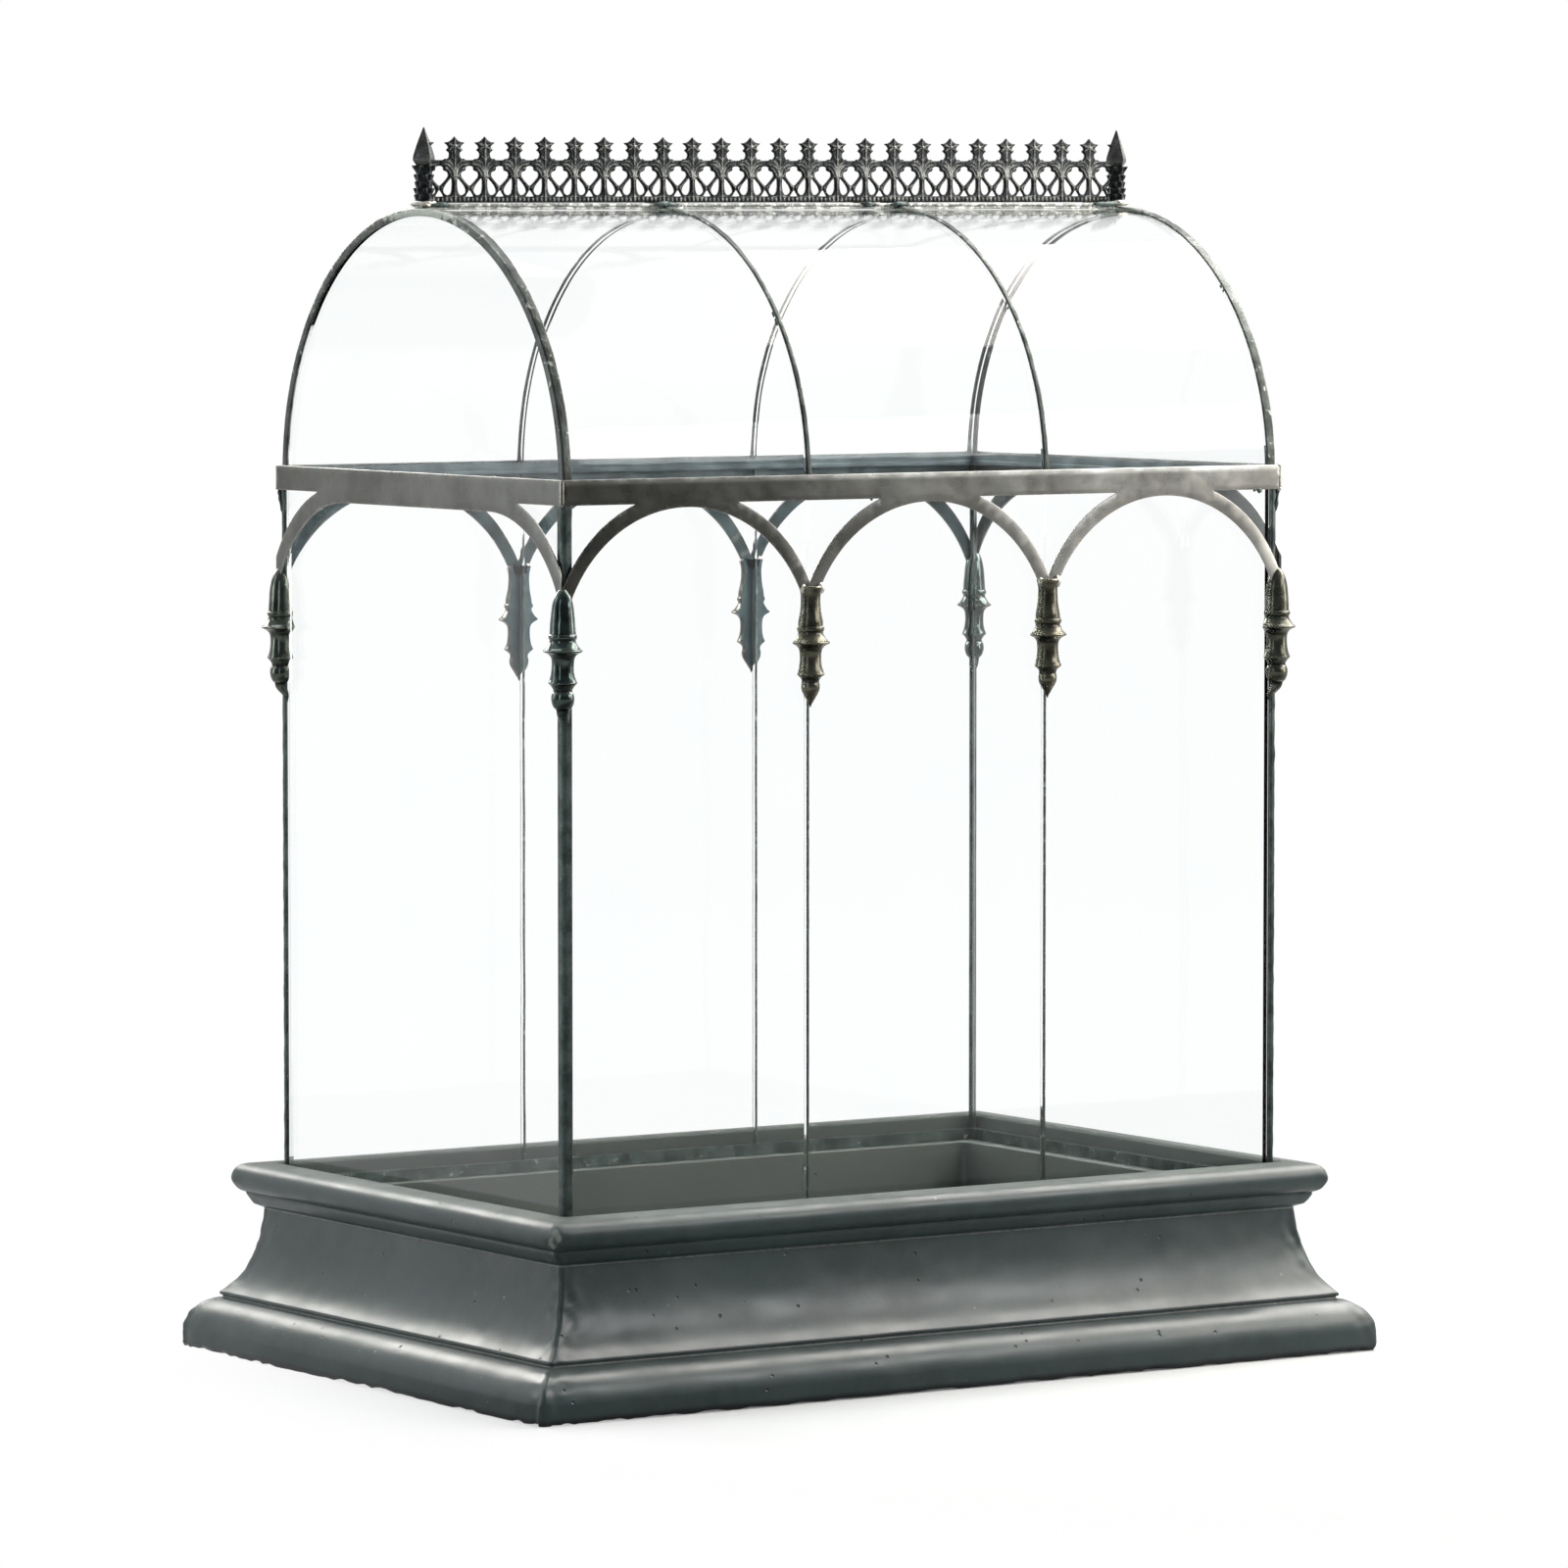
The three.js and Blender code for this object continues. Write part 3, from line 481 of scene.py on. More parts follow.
# %% Aged sheet of the arcades
def aged_sheet():
    """Rolled sheet with a brown-grey patina: grain along the band, dark clouds and pale edges. A darker tone is laid
    where the mesh marks it; on the front that is a painted shade that deepens towards the near corner. The inside
    is darker and bluish, partly as painted shade inside the case.
    """
    material, tree, shader, place = start("aged_sheet", metal=0.85)
    clouds = use(tree, CLOUDS, Place=place, Size=38 * MM)
    stains = use(tree, CLOUDS, Place=place, Size=13 * MM)
    grain = use(tree, GRAIN, Place=place, Length=14 * MM, Width=0.5 * MM)["Grain"]
    tarnish = marked(tree, "tarnish")
    worn = use(tree, RUBBED, Edge=marked(tree, "arris"), Place=place, Amount=0.28)["Worn"]
    behind = marked(tree, "inside")

    colour = blend(tree, clouds["Cloud"], tone(0x666662), tone(0x959692))
    colour = laid(tree, colour, tone(0x46413A), stains["Cloud"], strength=0.3)
    colour = laid(tree, colour, tone(0xA2A39E), grain, strength=0.3)
    # On the front this darkening is a painted shade that grows towards the near corner; on the sides it is a uniform
    # darker tone.
    colour = laid(tree, colour, tone(0x2A2A27), tarnish, strength=0.95)
    # The inner face is darker and bluish, partly a painted shade of the inside of the case; on the band a little
    # lighter.
    inner = blend(tree, stains["Cloud"], tone(0x3A484C), tone(0x2C3638))
    inner = laid(tree, inner, tone(0x2E3738), mask(tree, stains["Speckle"], 0.62, 0.9))
    inner_band = blend(tree, stains["Cloud"], tone(0x515B5E), tone(0x3C4447))
    colour = laid(tree, colour, laid(tree, inner, inner_band, marked(tree, "band")), behind)
    colour = laid(tree, colour, tone(0xC4C0B4), worn)

    rough = mask(tree, stains["Cloud"], 0.0, 1.0, low=0.27, high=0.38)
    rough = sums(tree, "ADD", rough, sums(tree, "MULTIPLY", behind, 0.3))
    combed = relief(tree, grain, mask(tree, behind, 0.0, 1.0, low=0.03 * MM, high=0.003 * MM))
    slow = noise(tree, place, 26 * MM, detail=2)
    waved = relief(tree, slow, mask(tree, behind, 0.0, 1.0, low=0.5 * MM, high=0.06 * MM), under=combed)
    set_inputs(tree, shader, Base_Color=colour, Roughness=rough, Normal=waved)
    return material


# %% Dark solder skin of the strips
def dark_skin(name="dark_skin", share=0.33, dark=0x2C3735, light=0x4E5B58, bright=0x9DA39A):
    """Solder wiped over a strip and blackened: greenish black with blotches where the tinning shows through. A mark on
    the mesh sets how many: fewer on the posts, and more near the crowns of the ribs, where they are partly a painted
    highlight of the light that the crowns mirror.
    """
    material, tree, shader, place = start(name, metal=0.8)
    clouds = use(tree, CLOUDS, Place=place, Size=11 * MM)
    # The mark adds tinned blotches, and near the rib crowns it also paints a highlight.
    tinned = sums(tree, "ADD", sums(tree, "MULTIPLY", marked(tree, "tin"), 0.5), share)
    blotches = use(tree, BLOTCHES, Place=place, Size=5 * MM, Share=tinned)
    colour = blend(tree, clouds["Cloud"], tone(dark), tone(light))
    colour = laid(tree, colour, tone(0x2E2A24), clouds["Speckle"], strength=0.3)
    colour = laid(tree, colour, tone(bright), blotches["Bright"], strength=0.6)
    rough = mask(tree, clouds["Speckle"], 0.0, 1.0, low=0.28, high=0.46)
    wiped = relief(tree, blotches["Swell"], 0.5 * MM)
    set_inputs(tree, shader, Base_Color=colour, Roughness=rough, Normal=wiped)
    return material


# %% Polished pewter of the capitals
def pewter():
    """A cast metal polished on its rounds: brownish or cool, glossy, with dark patina in the hollows and warm rubbed
    rings, and a dull flat back."""
    material, tree, shader, place = start("pewter_casting", metal=0.92)
    clouds = use(tree, CLOUDS, Place=place, Size=9 * MM)
    worn = use(tree, RUBBED, Edge=marked(tree, "arris"), Place=place, Amount=0.4)["Worn"]
    pits = use(tree, PITS, Place=place, Size=1.6 * MM, Share=0.012)["Pit"]
    bronze = blend(tree, clouds["Cloud"], tone(0x403F35), tone(0x605E50))
    teal = blend(tree, clouds["Cloud"], tone(0x2E3835), tone(0x4C5854))
    back = blend(tree, clouds["Cloud"], tone(0x36444A), tone(0x465558))
    colour = laid(tree, bronze, teal, marked(tree, "cool"))
    colour = laid(tree, colour, tone(0x191C19), marked(tree, "hollow"))
    colour = laid(tree, colour, tone(0xA8A390), worn)
    colour = laid(tree, colour, tone(0x1C1A16), pits)
    colour = laid(tree, colour, back, marked(tree, "flat"))
    polish = mask(tree, marked(tree, "cool"), 0.0, 1.0, low=0.26, high=0.15)
    rough = sums(tree, "ADD", polish, mask(tree, clouds["Speckle"], 0.0, 1.0, low=-0.02, high=0.04))
    rough = sums(tree, "ADD", rough, sums(tree, "MULTIPLY", marked(tree, "flat"), 0.4))
    cast = relief(tree, noise(tree, place, 6 * MM, detail=1), 0.2 * MM)
    set_inputs(tree, shader, Base_Color=colour, Roughness=rough, Normal=cast)
    return material


# %% Blackened casting of cresting and finials
def blackened():
    """A blackened casting whose raised parts are rubbed back to a warm grey, and paler on the spear heads."""
    material, tree, shader, place = start("blackened_casting", metal=0.85)
    clouds = use(tree, CLOUDS, Place=place, Size=7 * MM)
    raised = use(tree, RUBBED, Edge=marked(tree, "arris"), Place=place, Amount=0.75)["Worn"]
    colour = blend(tree, clouds["Cloud"], tone(0x131516), tone(0x232627))
    spear = blend(tree, clouds["Cloud"], tone(0x3A3A38), tone(0x575653))
    colour = laid(tree, colour, spear, marked(tree, "pale"))
    colour = laid(tree, colour, tone(0x7E807C), raised)
    rough = mask(tree, clouds["Speckle"], 0.0, 1.0, low=0.3, high=0.5)
    cast = relief(tree, noise(tree, place, 0.9 * MM, detail=3), 0.08 * MM)
    set_inputs(tree, shader, Base_Color=colour, Roughness=rough, Normal=cast)
    return material


# %% Clear glass
def clear_glass():
    """Nearly colourless glass with a slow wave from rolling; lamps shine through it without a dark shadow. Its index
    is lower than real glass has, because many panes stand behind each other and theirs would mirror too much."""
    material, tree, shader, place = start("clear_glass")
    shader.inputs["Transmission Weight"].default_value = 1.0
    shader.inputs["IOR"].default_value = 1.22
    shader.inputs["Roughness"].default_value = 0.0
    streaks = noise(tree, place, 60 * MM, detail=2)
    tint = blend(tree, streaks, tone(0xFDFFFF), tone(0xFFFFFF))
    wave = relief(tree, noise(tree, place, 45 * MM, detail=1), 0.12 * MM)
    set_inputs(tree, shader, Base_Color=tint, Normal=wave)
    shadow = tree.nodes.new("ShaderNodeLightPath").outputs["Is Shadow Ray"]
    through = node(tree, "BsdfTransparent", {"Color": tone(0xFCFEFE)}).outputs[0]
    mixed = node(tree, "MixShader", {0: shadow, 1: shader.outputs[0], 2: through}).outputs[0]
    tree.links.new(mixed, tree.nodes["Material Output"].inputs["Surface"])
    return material


SLATE = slate_paint()
SHEET = aged_sheet()
SKIN = dark_skin()
SOLDER = dark_skin("bright_solder", share=0.95, dark=0x5C5B52, light=0x86857A, bright=0xD8D4C4)
RIB = dark_skin("rib_skin", dark=0x262B29, light=0x454A47)
STRIP = dark_skin("mullion_strip", share=0.4, dark=0x3C423F, light=0x596059, bright=0x8A8F88)
TINNED = dark_skin("tinned_strip", share=0.5, dark=0x6E716D, light=0x848782, bright=0xD0D1CA)
PEWTER = pewter()
BLACKENED = blackened()
GLASS = clear_glass()
print("finishes:", ", ".join(m.name for m in bpy.data.materials if m.use_nodes))

# %% [markdown]
# ## Shapes as grids
#
# Almost every piece is a grid of points: rows follow one another along the piece, and each row runs round its
# section. Numpy works out all the points at once. One helper joins neighbours into faces and closes the ends, and
# another hands the mesh to Blender. Sections are drawn as a few corner points, and their corners are rounded with a
# small curve so that every edge catches light.


# %% Grid helpers
def quads(index):
    """Four-sided faces between the neighbouring rows and columns of a grid of point numbers."""
    return np.stack([index[:-1, :-1], index[:-1, 1:], index[1:, 1:], index[1:, :-1]], axis=-1).reshape(-1, 4).tolist()


def skin(rows, ends=True, **marks):
    """A surface through rows of points, as (points, faces, marks). It closes round each row and, where ends is
    True, with a flat face at the first and the last row. Marks are values that the points carry for the finishes,
    0 for none and mostly 1 for the most."""
    count, width, _ = rows.shape
    index = np.arange(count * width).reshape(count, width)
    faces = quads(np.hstack([index, index[:, :1]]))
    if ends:
        faces += [index[0, ::-1].tolist(), index[-1].tolist()]
    return rows.reshape(-1, 3), faces, {k: np.broadcast_to(v, (count, width)).ravel() for k, v in marks.items()}


def piece(name, parts, material, body="glasshouse", stands_for=(), sharp=35):
    """One object from several surfaces: points that meet are merged and all faces turned outwards."""
    points, faces, first = [], [], 0
    labels = sorted({label for part in parts for label in part[2]})
    for part_points, part_faces, _ in parts:
        points.append(part_points)
        faces += [[i + first for i in face] for face in part_faces]
        first += len(part_points)
    mesh = bpy.data.meshes.new(name)
    mesh.from_pydata(np.concatenate(points).tolist(), [], faces)
    for label in labels:
        values = np.concatenate([np.asarray(p[2].get(label, np.zeros(len(p[0]))), float) for p in parts])
        mesh.attributes.new(label, "FLOAT", "POINT").data.foreach_set("value", values.astype(np.float32))
    shell = bmesh.new()
    shell.from_mesh(mesh)
    bmesh.ops.remove_doubles(shell, verts=shell.verts, dist=0.001 * MM)
    bmesh.ops.recalc_face_normals(shell, faces=shell.faces)
    shell.to_mesh(mesh)
    shell.free()
    mesh.polygons.foreach_set("use_smooth", np.ones(len(mesh.polygons), bool))
    mesh.set_sharp_from_angle(angle=np.radians(sharp))
    mesh.materials.append(material)
    made = bpy.data.objects.new(name, mesh)
    bpy.context.scene.collection.objects.link(made)
    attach(made, body)
    if stands_for:
        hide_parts(*stands_for)
    return made


def said(label, *made):
    """Prints how many faces some pieces have."""
    print(label + ":", len(made), "pieces,", sum(len(o.data.polygons) for o in made), "faces")


# %% Lines and noise
def bend(a, b, c, steps):
    """Points of a curve from a to c that is pulled towards b: (1-t)^2 a + 2 t (1-t) b + t^2 c."""
    t = np.linspace(0, 1, steps + 1)[:, None]
    return (1 - t) ** 2 * np.array(a) + 2 * t * (1 - t) * np.array(b) + t**2 * np.array(c)


def circle_part(x, z, radius, start, end, steps):
    """Points of an arc: the centre plus the radius times cosine and sine of evenly stepped angles."""
    angle = np.linspace(start, end, steps + 1)
    return np.stack([x + radius * np.cos(angle), z + radius * np.sin(angle)], axis=-1)


def rounded(outline, radius, steps=4):
    """A closed outline with each corner replaced by a small curve that starts and ends radius away from it."""
    points = np.array(outline, float)
    before, after = np.roll(points, 1, axis=0) - points, np.roll(points, -1, axis=0) - points
    reach_before = np.minimum(np.broadcast_to(radius, len(points)) / np.linalg.norm(before, axis=1), 0.45)
    reach_after = np.minimum(np.broadcast_to(radius, len(points)) / np.linalg.norm(after, axis=1), 0.45)
    a, c = points + before * reach_before[:, None], points + after * reach_after[:, None]
    t = np.linspace(0, 1, steps + 1)[None, :, None]
    curves = (1 - t) ** 2 * a[:, None] + 2 * t * (1 - t) * points[:, None] + t**2 * c[:, None]
    return curves.reshape(-1, 2)


def through(points, steps, closed=False):
    """A smooth line through all points: between two of them, a cubic that leaves each in the direction of its
    neighbours."""
    p = np.array(points, float)
    if closed:
        p0, p1, p2, p3 = np.roll(p, 1, axis=0), p, np.roll(p, -1, axis=0), np.roll(p, -2, axis=0)
    else:
        padded = np.vstack([2 * p[0] - p[1], p, 2 * p[-1] - p[-2]])
        p0, p1, p2, p3 = padded[:-3], padded[1:-2], padded[2:-1], padded[3:]
    t = (np.arange(steps) / steps)[None, :, None]
    p0, p1, p2, p3 = (q[:, None] for q in (p0, p1, p2, p3))
    line = p1 + 0.5 * t * (p2 - p0 + t * (2 * p0 - 5 * p1 + 4 * p2 - p3 + t * (3 * (p1 - p2) + p3 - p0)))
    line = line.reshape(-1, p.shape[1])
    return line if closed else np.vstack([line, p[-1:]])


def waves(points, length, seed, count=20):
    """A smooth random height near -1 to 1: the sum of sine waves about one length long, in seeded directions."""
    random = np.random.default_rng(seed)
    heading = random.normal(size=(count, 3))
    heading *= (TURN / length * random.uniform(0.6, 1.7, count) / np.linalg.norm(heading, axis=1))[:, None]
    return np.sin(points @ heading.T + random.uniform(0, TURN, count)).sum(axis=-1) / np.sqrt(1.4 * count)


def carried(section, path, side, out):
    """A section carried along a path: path + first number times side + second number times out."""
    return path[:, None] + section[..., 0:1] * side[:, None] + section[..., 1:2] * out[:, None]


def ease(value, start, end):
    """0 before start, 1 after end, and a smooth rise between them."""
    t = np.clip((value - start) / (end - start), 0, 1)
    return t * t * (3 - 2 * t)


print("grid helpers ready")

# %% [markdown]
# ## Tray
#
# One moulding runs round four mitred sides: a plinth with a rounded shoulder, a groove, a deep hollow, a bead and a
# rolled rim, then the mouth, the ledge that carries the glasshouse, and the pan. It could be a bevelled curve, but
# as a grid (profile times path round a rectangle) the cast body can be made a little uneven: slow waves in the faces,
# softened and lumpy mitres, a ragged foot and a chipped corner. Every change goes inwards, so the size holds.

# %% Tray profile
tray_high = span("tray")[1]
TRAY_WALL = 38.5 * MM
LEDGE_DEPTH = 14 * MM
LEDGE_WIDTH = 16 * MM
PAN_FLOOR = 14 * MM
PAN_DRAFT = 3 * MM
ROLL_START = np.radians(-108)
OUTLINE_STEP = 0.25 * MM
tray_height = tray_high[2]
LIP_CUT = 1.5 * MM
# Places on the profile, as shares of the tray's wall and of its height.
plinth_shares = [(0.013, 0.0), (0, 0.02), (0, 0.105)]
shoulder_shares = [(0, 0.105), (0.038, 0.22), (0.304, 0.263)]
groove_shares = [(0.349, 0.269), (0.4, 0.27), (0.405, 0.282), (0.37, 0.286), (0.375, 0.302)]
hollow_shares = [(0.375, 0.302), (0.76, 0.42), (0.83, 0.758)]
bead_shares = [(0.721, 0.777), (0.684, 0.8), (0.646, 0.824), (0.641, 0.842)]
rim_share, roll_share = (0.696, 0.915), 0.078


def tray_outline():
    """The profile from the underside over the rim to the pan's floor, as inset from the plinth's face and height.
    Straight and curved stretches are joined, stepped evenly and then averaged over half a millimetre, which rounds
    each arris as paint does."""
    scale = np.array([TRAY_WALL, tray_height])
    at = lambda shares: np.array(shares) * scale
    rolled = circle_part(0, 0, roll_share * tray_height, ROLL_START, TURN / 4, 20) * (-1, 1) + at(rim_share)
    pan_wall = TRAY_WALL + LEDGE_WIDTH
    ledge = tray_height - LEDGE_DEPTH
    mouth = [(TRAY_WALL - LIP_CUT, tray_height), (TRAY_WALL, tray_height - LIP_CUT), (TRAY_WALL, ledge)]
    pan = [(pan_wall, ledge), (pan_wall + PAN_DRAFT, PAN_FLOOR)]
    line = np.vstack([
        [(pan_wall, 0)], at(plinth_shares), bend(*at(shoulder_shares), 16)[1:], at(groove_shares[:-1]),
        bend(*at(hollow_shares), 24), at(bead_shares), rolled, mouth, pan,
    ])
    length = np.append(0, np.cumsum(np.linalg.norm(np.diff(line, axis=0), axis=1)))
    even = np.arange(0, length[-1], OUTLINE_STEP)
    fine = np.stack([np.interp(even, length, line[:, k]) for k in (0, 1)], axis=-1)
    weight = np.exp(-0.5 * (np.arange(-5, 6) / 1.6) ** 2)
    padded = np.pad(fine, ((5, 5), (0, 0)), mode="edge")
    soft = np.stack([np.convolve(padded[:, k], weight / weight.sum(), "valid") for k in (0, 1)], axis=-1)
    soft[0], soft[-1] = fine[0], fine[-1]
    return soft


def thinned(line, widest, turn):
    """Keeps the points that the shape needs: one for each step of length or of turning, whichever comes first.
    Returns them with how sharply the line turns there, positive on an arris and negative in a groove."""
    step = np.diff(line, axis=0)
    heading = np.unwrap(np.arctan2(step[:, 1], step[:, 0]))
    turning = np.append(np.diff(heading, prepend=heading[0]), 0)
    need = np.linalg.norm(np.vstack([step, step[-1:]]), axis=1) / widest + np.abs(turning) / turn
    total = np.cumsum(need)
    kept = np.unique(np.searchsorted(total, np.arange(total[0], total[-1], 1)).clip(0, len(line) - 1))
    kept = np.unique(np.append(kept, [0, len(line) - 1]))
    sharpness = np.convolve(turning, np.ones(5) / 5, "same")
    return line[kept], sharpness[kept]


profile, sharpness = thinned(tray_outline(), 3.2 * MM, np.radians(9))
print("tray profile", len(profile), "points")

# %% Tray surface
MITRE_ROUND = 3.2 * MM
RIM_INSET = 20 * MM
UNEVEN, RIPPLE, MITRE_WEAR = 0.3 * MM, 0.1 * MM, 0.3 * MM
CHIPS = [
    # (how far along the front from the near corner, height, size, depth lost), in millimetres
    (-1.5, 88, 3.2, 1.2), (2.2, 92, 2.4, 0.9), (0.5, 96.5, 2.8, 1.0), (6, 97.5, 1.8, 0.7), (11, 96, 1.6, 0.6),
    (-6, 95, 2.0, 0.6),
]
SIDE_POINTS = {"long": 96, "short": 72}
corner_signs = np.array([[1, 1], [-1, 1], [-1, -1], [1, -1]])


def round_path(steps=9):
    """Columns round a rectangle with rounded corners. Each has the two corners it lies between, its share of the
    way, closer together near the corners, and the direction that it faces."""
    first, second, share, facing = [], [], [], []
    for k in range(4):
        turn = TURN / 4 * (k + np.linspace(0, 1, steps + 1))
        along = SIDE_POINTS["long" if k % 2 == 0 else "short"]
        way = 0.5 - 0.5 * np.cos(np.pi * np.arange(1, along) / along)
        first.append(np.repeat(corner_signs[k : k + 1], steps + along, axis=0))
        second.append(np.repeat(corner_signs[(k + 1) % 4][None], steps + along, axis=0))
        share.append(np.append(np.zeros(steps + 1), way))
        facing.append(np.append(turn, np.full(along - 1, TURN / 4 * (k + 1))))
    return np.vstack(first), np.vstack(second), np.concatenate(share), np.concatenate(facing)


def tray_surface():
    """Place = corner signs, mixed along the side, times (half size - inset - rounding), plus rounding times the
    direction faced. The depth of wear is then taken off against that direction."""
    first, second, share, facing = round_path()
    spot = first * (1 - share)[:, None] + second * share[:, None]
    face = np.stack([np.cos(facing), np.sin(facing)], axis=-1)
    half = np.array([tray_high[0], tray_high[1]])
    inset, height = profile[:, 0], profile[:, 1]
    flat = spot[None] * (half - inset[:, None] - MITRE_ROUND)[:, None] + MITRE_ROUND * face[None]
    rows = np.concatenate([flat, np.broadcast_to(height[:, None, None], (*flat.shape[:2], 1))], axis=-1)

    outside = 1 - ease(np.arange(len(profile)) / len(profile), 0.6, 0.72)[:, None]
    near_corner = np.exp(-((1 - np.abs(2 * share - 1)) / 0.05) ** 2)[None] * np.ones_like(outside)
    depth = UNEVEN * (1.05 + waves(rows, 95 * MM, 3)) + RIPPLE * (1 + waves(rows, 17 * MM, 4))
    depth += near_corner * MITRE_WEAR * (1 + waves(rows, 9 * MM, 5))
    depth = np.maximum(depth, 0) * outside

    # The near rim corner has lost a few chips of paint and casting, and a dark crack runs into it.
    near = np.array([RIM_INSET - half[0], RIM_INSET - half[1], 0])
    chips = np.zeros(rows.shape[:2])
    crack = np.exp(-((np.linalg.norm(rows - near - np.array([0.5, -0.5, 90]) * MM, axis=-1) / (2.4 * MM)) ** 2))
    for aside, up, size, lost in CHIPS:
        gap = np.linalg.norm(rows - near - np.array([aside, -aside, up]) * MM, axis=-1) / (size * MM)
        chips += lost * MM * np.exp(-(gap**2))
    away = np.linalg.norm(rows - near - np.array([0, 0, 95]) * MM, axis=-1)
    specks = np.clip(waves(rows, 3.2 * MM, 9) - 0.9, 0, 1) * np.exp(-away / (26 * MM))
    chips += 0.6 * MM * specks * (rows[..., 2] > 0.84 * tray_height) * outside
    depth += chips
    rows[..., :2] -= face[None] * depth[..., None]
    rows[..., 2] -= chips * 0.5 * (rows[..., 2] > 0.9 * tray_height)

    # The foot is ragged: the lowest edge is raised here and there and drawn in.
    low = 1 - ease(height, 0, 3.2 * MM)[:, None]
    edge = 1 - ease(inset, 2 * MM, 6 * MM)[:, None]
    torn = np.clip(0.5 + waves(rows, 13 * MM, 7) + 0.5 * waves(rows, 4 * MM, 8), 0, 2) * low * edge
    rows[..., 2] += 0.9 * MM * torn
    rows[..., :2] -= face[None] * (0.6 * MM * torn)[..., None]

    arris = np.clip(sharpness / np.radians(9), 0, 1)[:, None] * outside
    mitre = near_corner * ease(rows[..., 2], 30 * MM, 50 * MM) * 0.2
    marks = {
        "arris": np.clip(arris * 0.85 + mitre + chips / (0.5 * MM), 0, 1),
        "inside": ease(np.arange(len(profile)) / len(profile), 0.66, 0.74)[:, None],
        # painted shade along the foot, deeper where its edge is raised, and the dark crack at the near rim corner
        "grime": np.clip(1 - ease(rows[..., 2], 1.0 * MM, 3.8 * MM) + 0.4 * torn + crack, 0, 1) * outside,
    }
    return skin(rows, **marks)


tray = piece("tray_moulding", [tray_surface()], SLATE, body="tray", stands_for=["tray"], sharp=60)
said("tray", tray)

# %% [markdown]
# ## Posts and mullions
#
# The corner posts are folded angle strips that were dressed with solder, so they look rounded and a little lumpy,
# and the solder lies thicker just below the band. Their legs were cut by hand and differ from post to post. The
# mullions are thin strips on both faces of the glass that end inside the capitals. A plain box would look dead
# straight and sharp; here a rounded section is carried up the post and swells and shrinks with a slow noise.

# %% Walls' sizes
post_low, post_high = span("post_back_right")
house = post_high[:2]
post_foot, post_top = post_low[2], post_high[2]
arcade_low, arcade_high = span("arcade_front")
band_top, strip_foot = arcade_high[2], arcade_low[2]
BAND_HEIGHT = 13 * MM
band_low = band_top - BAND_HEIGHT
mullion_low, mullion_high = span("mullion_front_1")
bay_edge = span("mullion_front_2")[0][0] * 0.5 + span("mullion_front_2")[1][0] * 0.5
CORNERS = {"back_right": (1, 1), "back_left": (-1, 1), "front_left": (-1, -1), "front_right": (1, -1)}
print("posts from", round(post_foot, 4), "to", round(post_top, 4), "band from", round(band_low, 4))

# %% Corner posts
POST_LEGS = {"back_right": 3.6 * MM, "back_left": 3.2 * MM, "front_left": 5.3 * MM, "front_right": 2.7 * MM}
STRIP_THICK = 1.3 * MM
POST_STEP = 2.2 * MM
COAT, COAT_GROWTH, COAT_REACH = 0.45, 0.5, 9 * MM  # solder in millimetres, and how far below the band it thickens
POST_ROUNDS = np.array([2.2, 0.9, 0.5, 0.3, 0.5, 0.9]) * MM
LUMPS, SMALL_LUMPS = 0.16 * MM, 0.1 * MM
UNTINNED = -0.35


def post_surface(sign_x, sign_y, leg, seed):
    """An angle section carried up. Its coat of solder grows outward in the last millimetres under the band."""
    height = np.append(np.arange(post_foot, post_top, POST_STEP), post_top)
    coat = (COAT + COAT_GROWTH * ease(height, band_low - COAT_REACH, band_low)) * MM
    leg, back = np.full_like(height, leg), np.full_like(height, STRIP_THICK)
    outline = [(coat, coat), (-leg, coat), (-leg, -back), (-back, -back), (-back, -leg), (coat, -leg)]
    outlines = np.stack([np.stack(corner, axis=-1) for corner in outline], axis=1)
    section = np.stack([rounded(outline, POST_ROUNDS, 5) for outline in outlines])
    rows = np.concatenate([section, np.broadcast_to(height[:, None, None], (*section.shape[:2], 1))], axis=-1)
    lump = LUMPS * waves(rows, 13 * MM, seed) + SMALL_LUMPS * waves(rows, 4 * MM, seed + 1)
    out = np.maximum((section + STRIP_THICK).min(axis=-1), 0) / (STRIP_THICK * 1.3)
    away = section / np.maximum(np.linalg.norm(section, axis=-1, keepdims=True), 0.1 * MM)
    rows[..., :2] += np.abs(away) * (lump * np.clip(out, 0, 1))[..., None]
    rows[..., :2] = (rows[..., :2] + house) * (sign_x, sign_y)
    return skin(rows, tin=UNTINNED)


posts = []
for number, (name, signs) in enumerate(CORNERS.items()):
    surface = post_surface(*signs, POST_LEGS[name], seed=20 + 2 * number)
    posts.append(piece("post_" + name + "_dressed", [surface], SKIN, stands_for=["post_" + name]))
said("posts", *posts)


# %% Mullions
FLANGE_SHARE = 0.42
MULLION_LIP, MULLION_WEB = 0.45 * MM, 0.25 * MM
BEAD_HALF, BEAD_BEHIND = 0.45 * MM, 0.8 * MM
MULLION_HIDDEN = 6 * MM


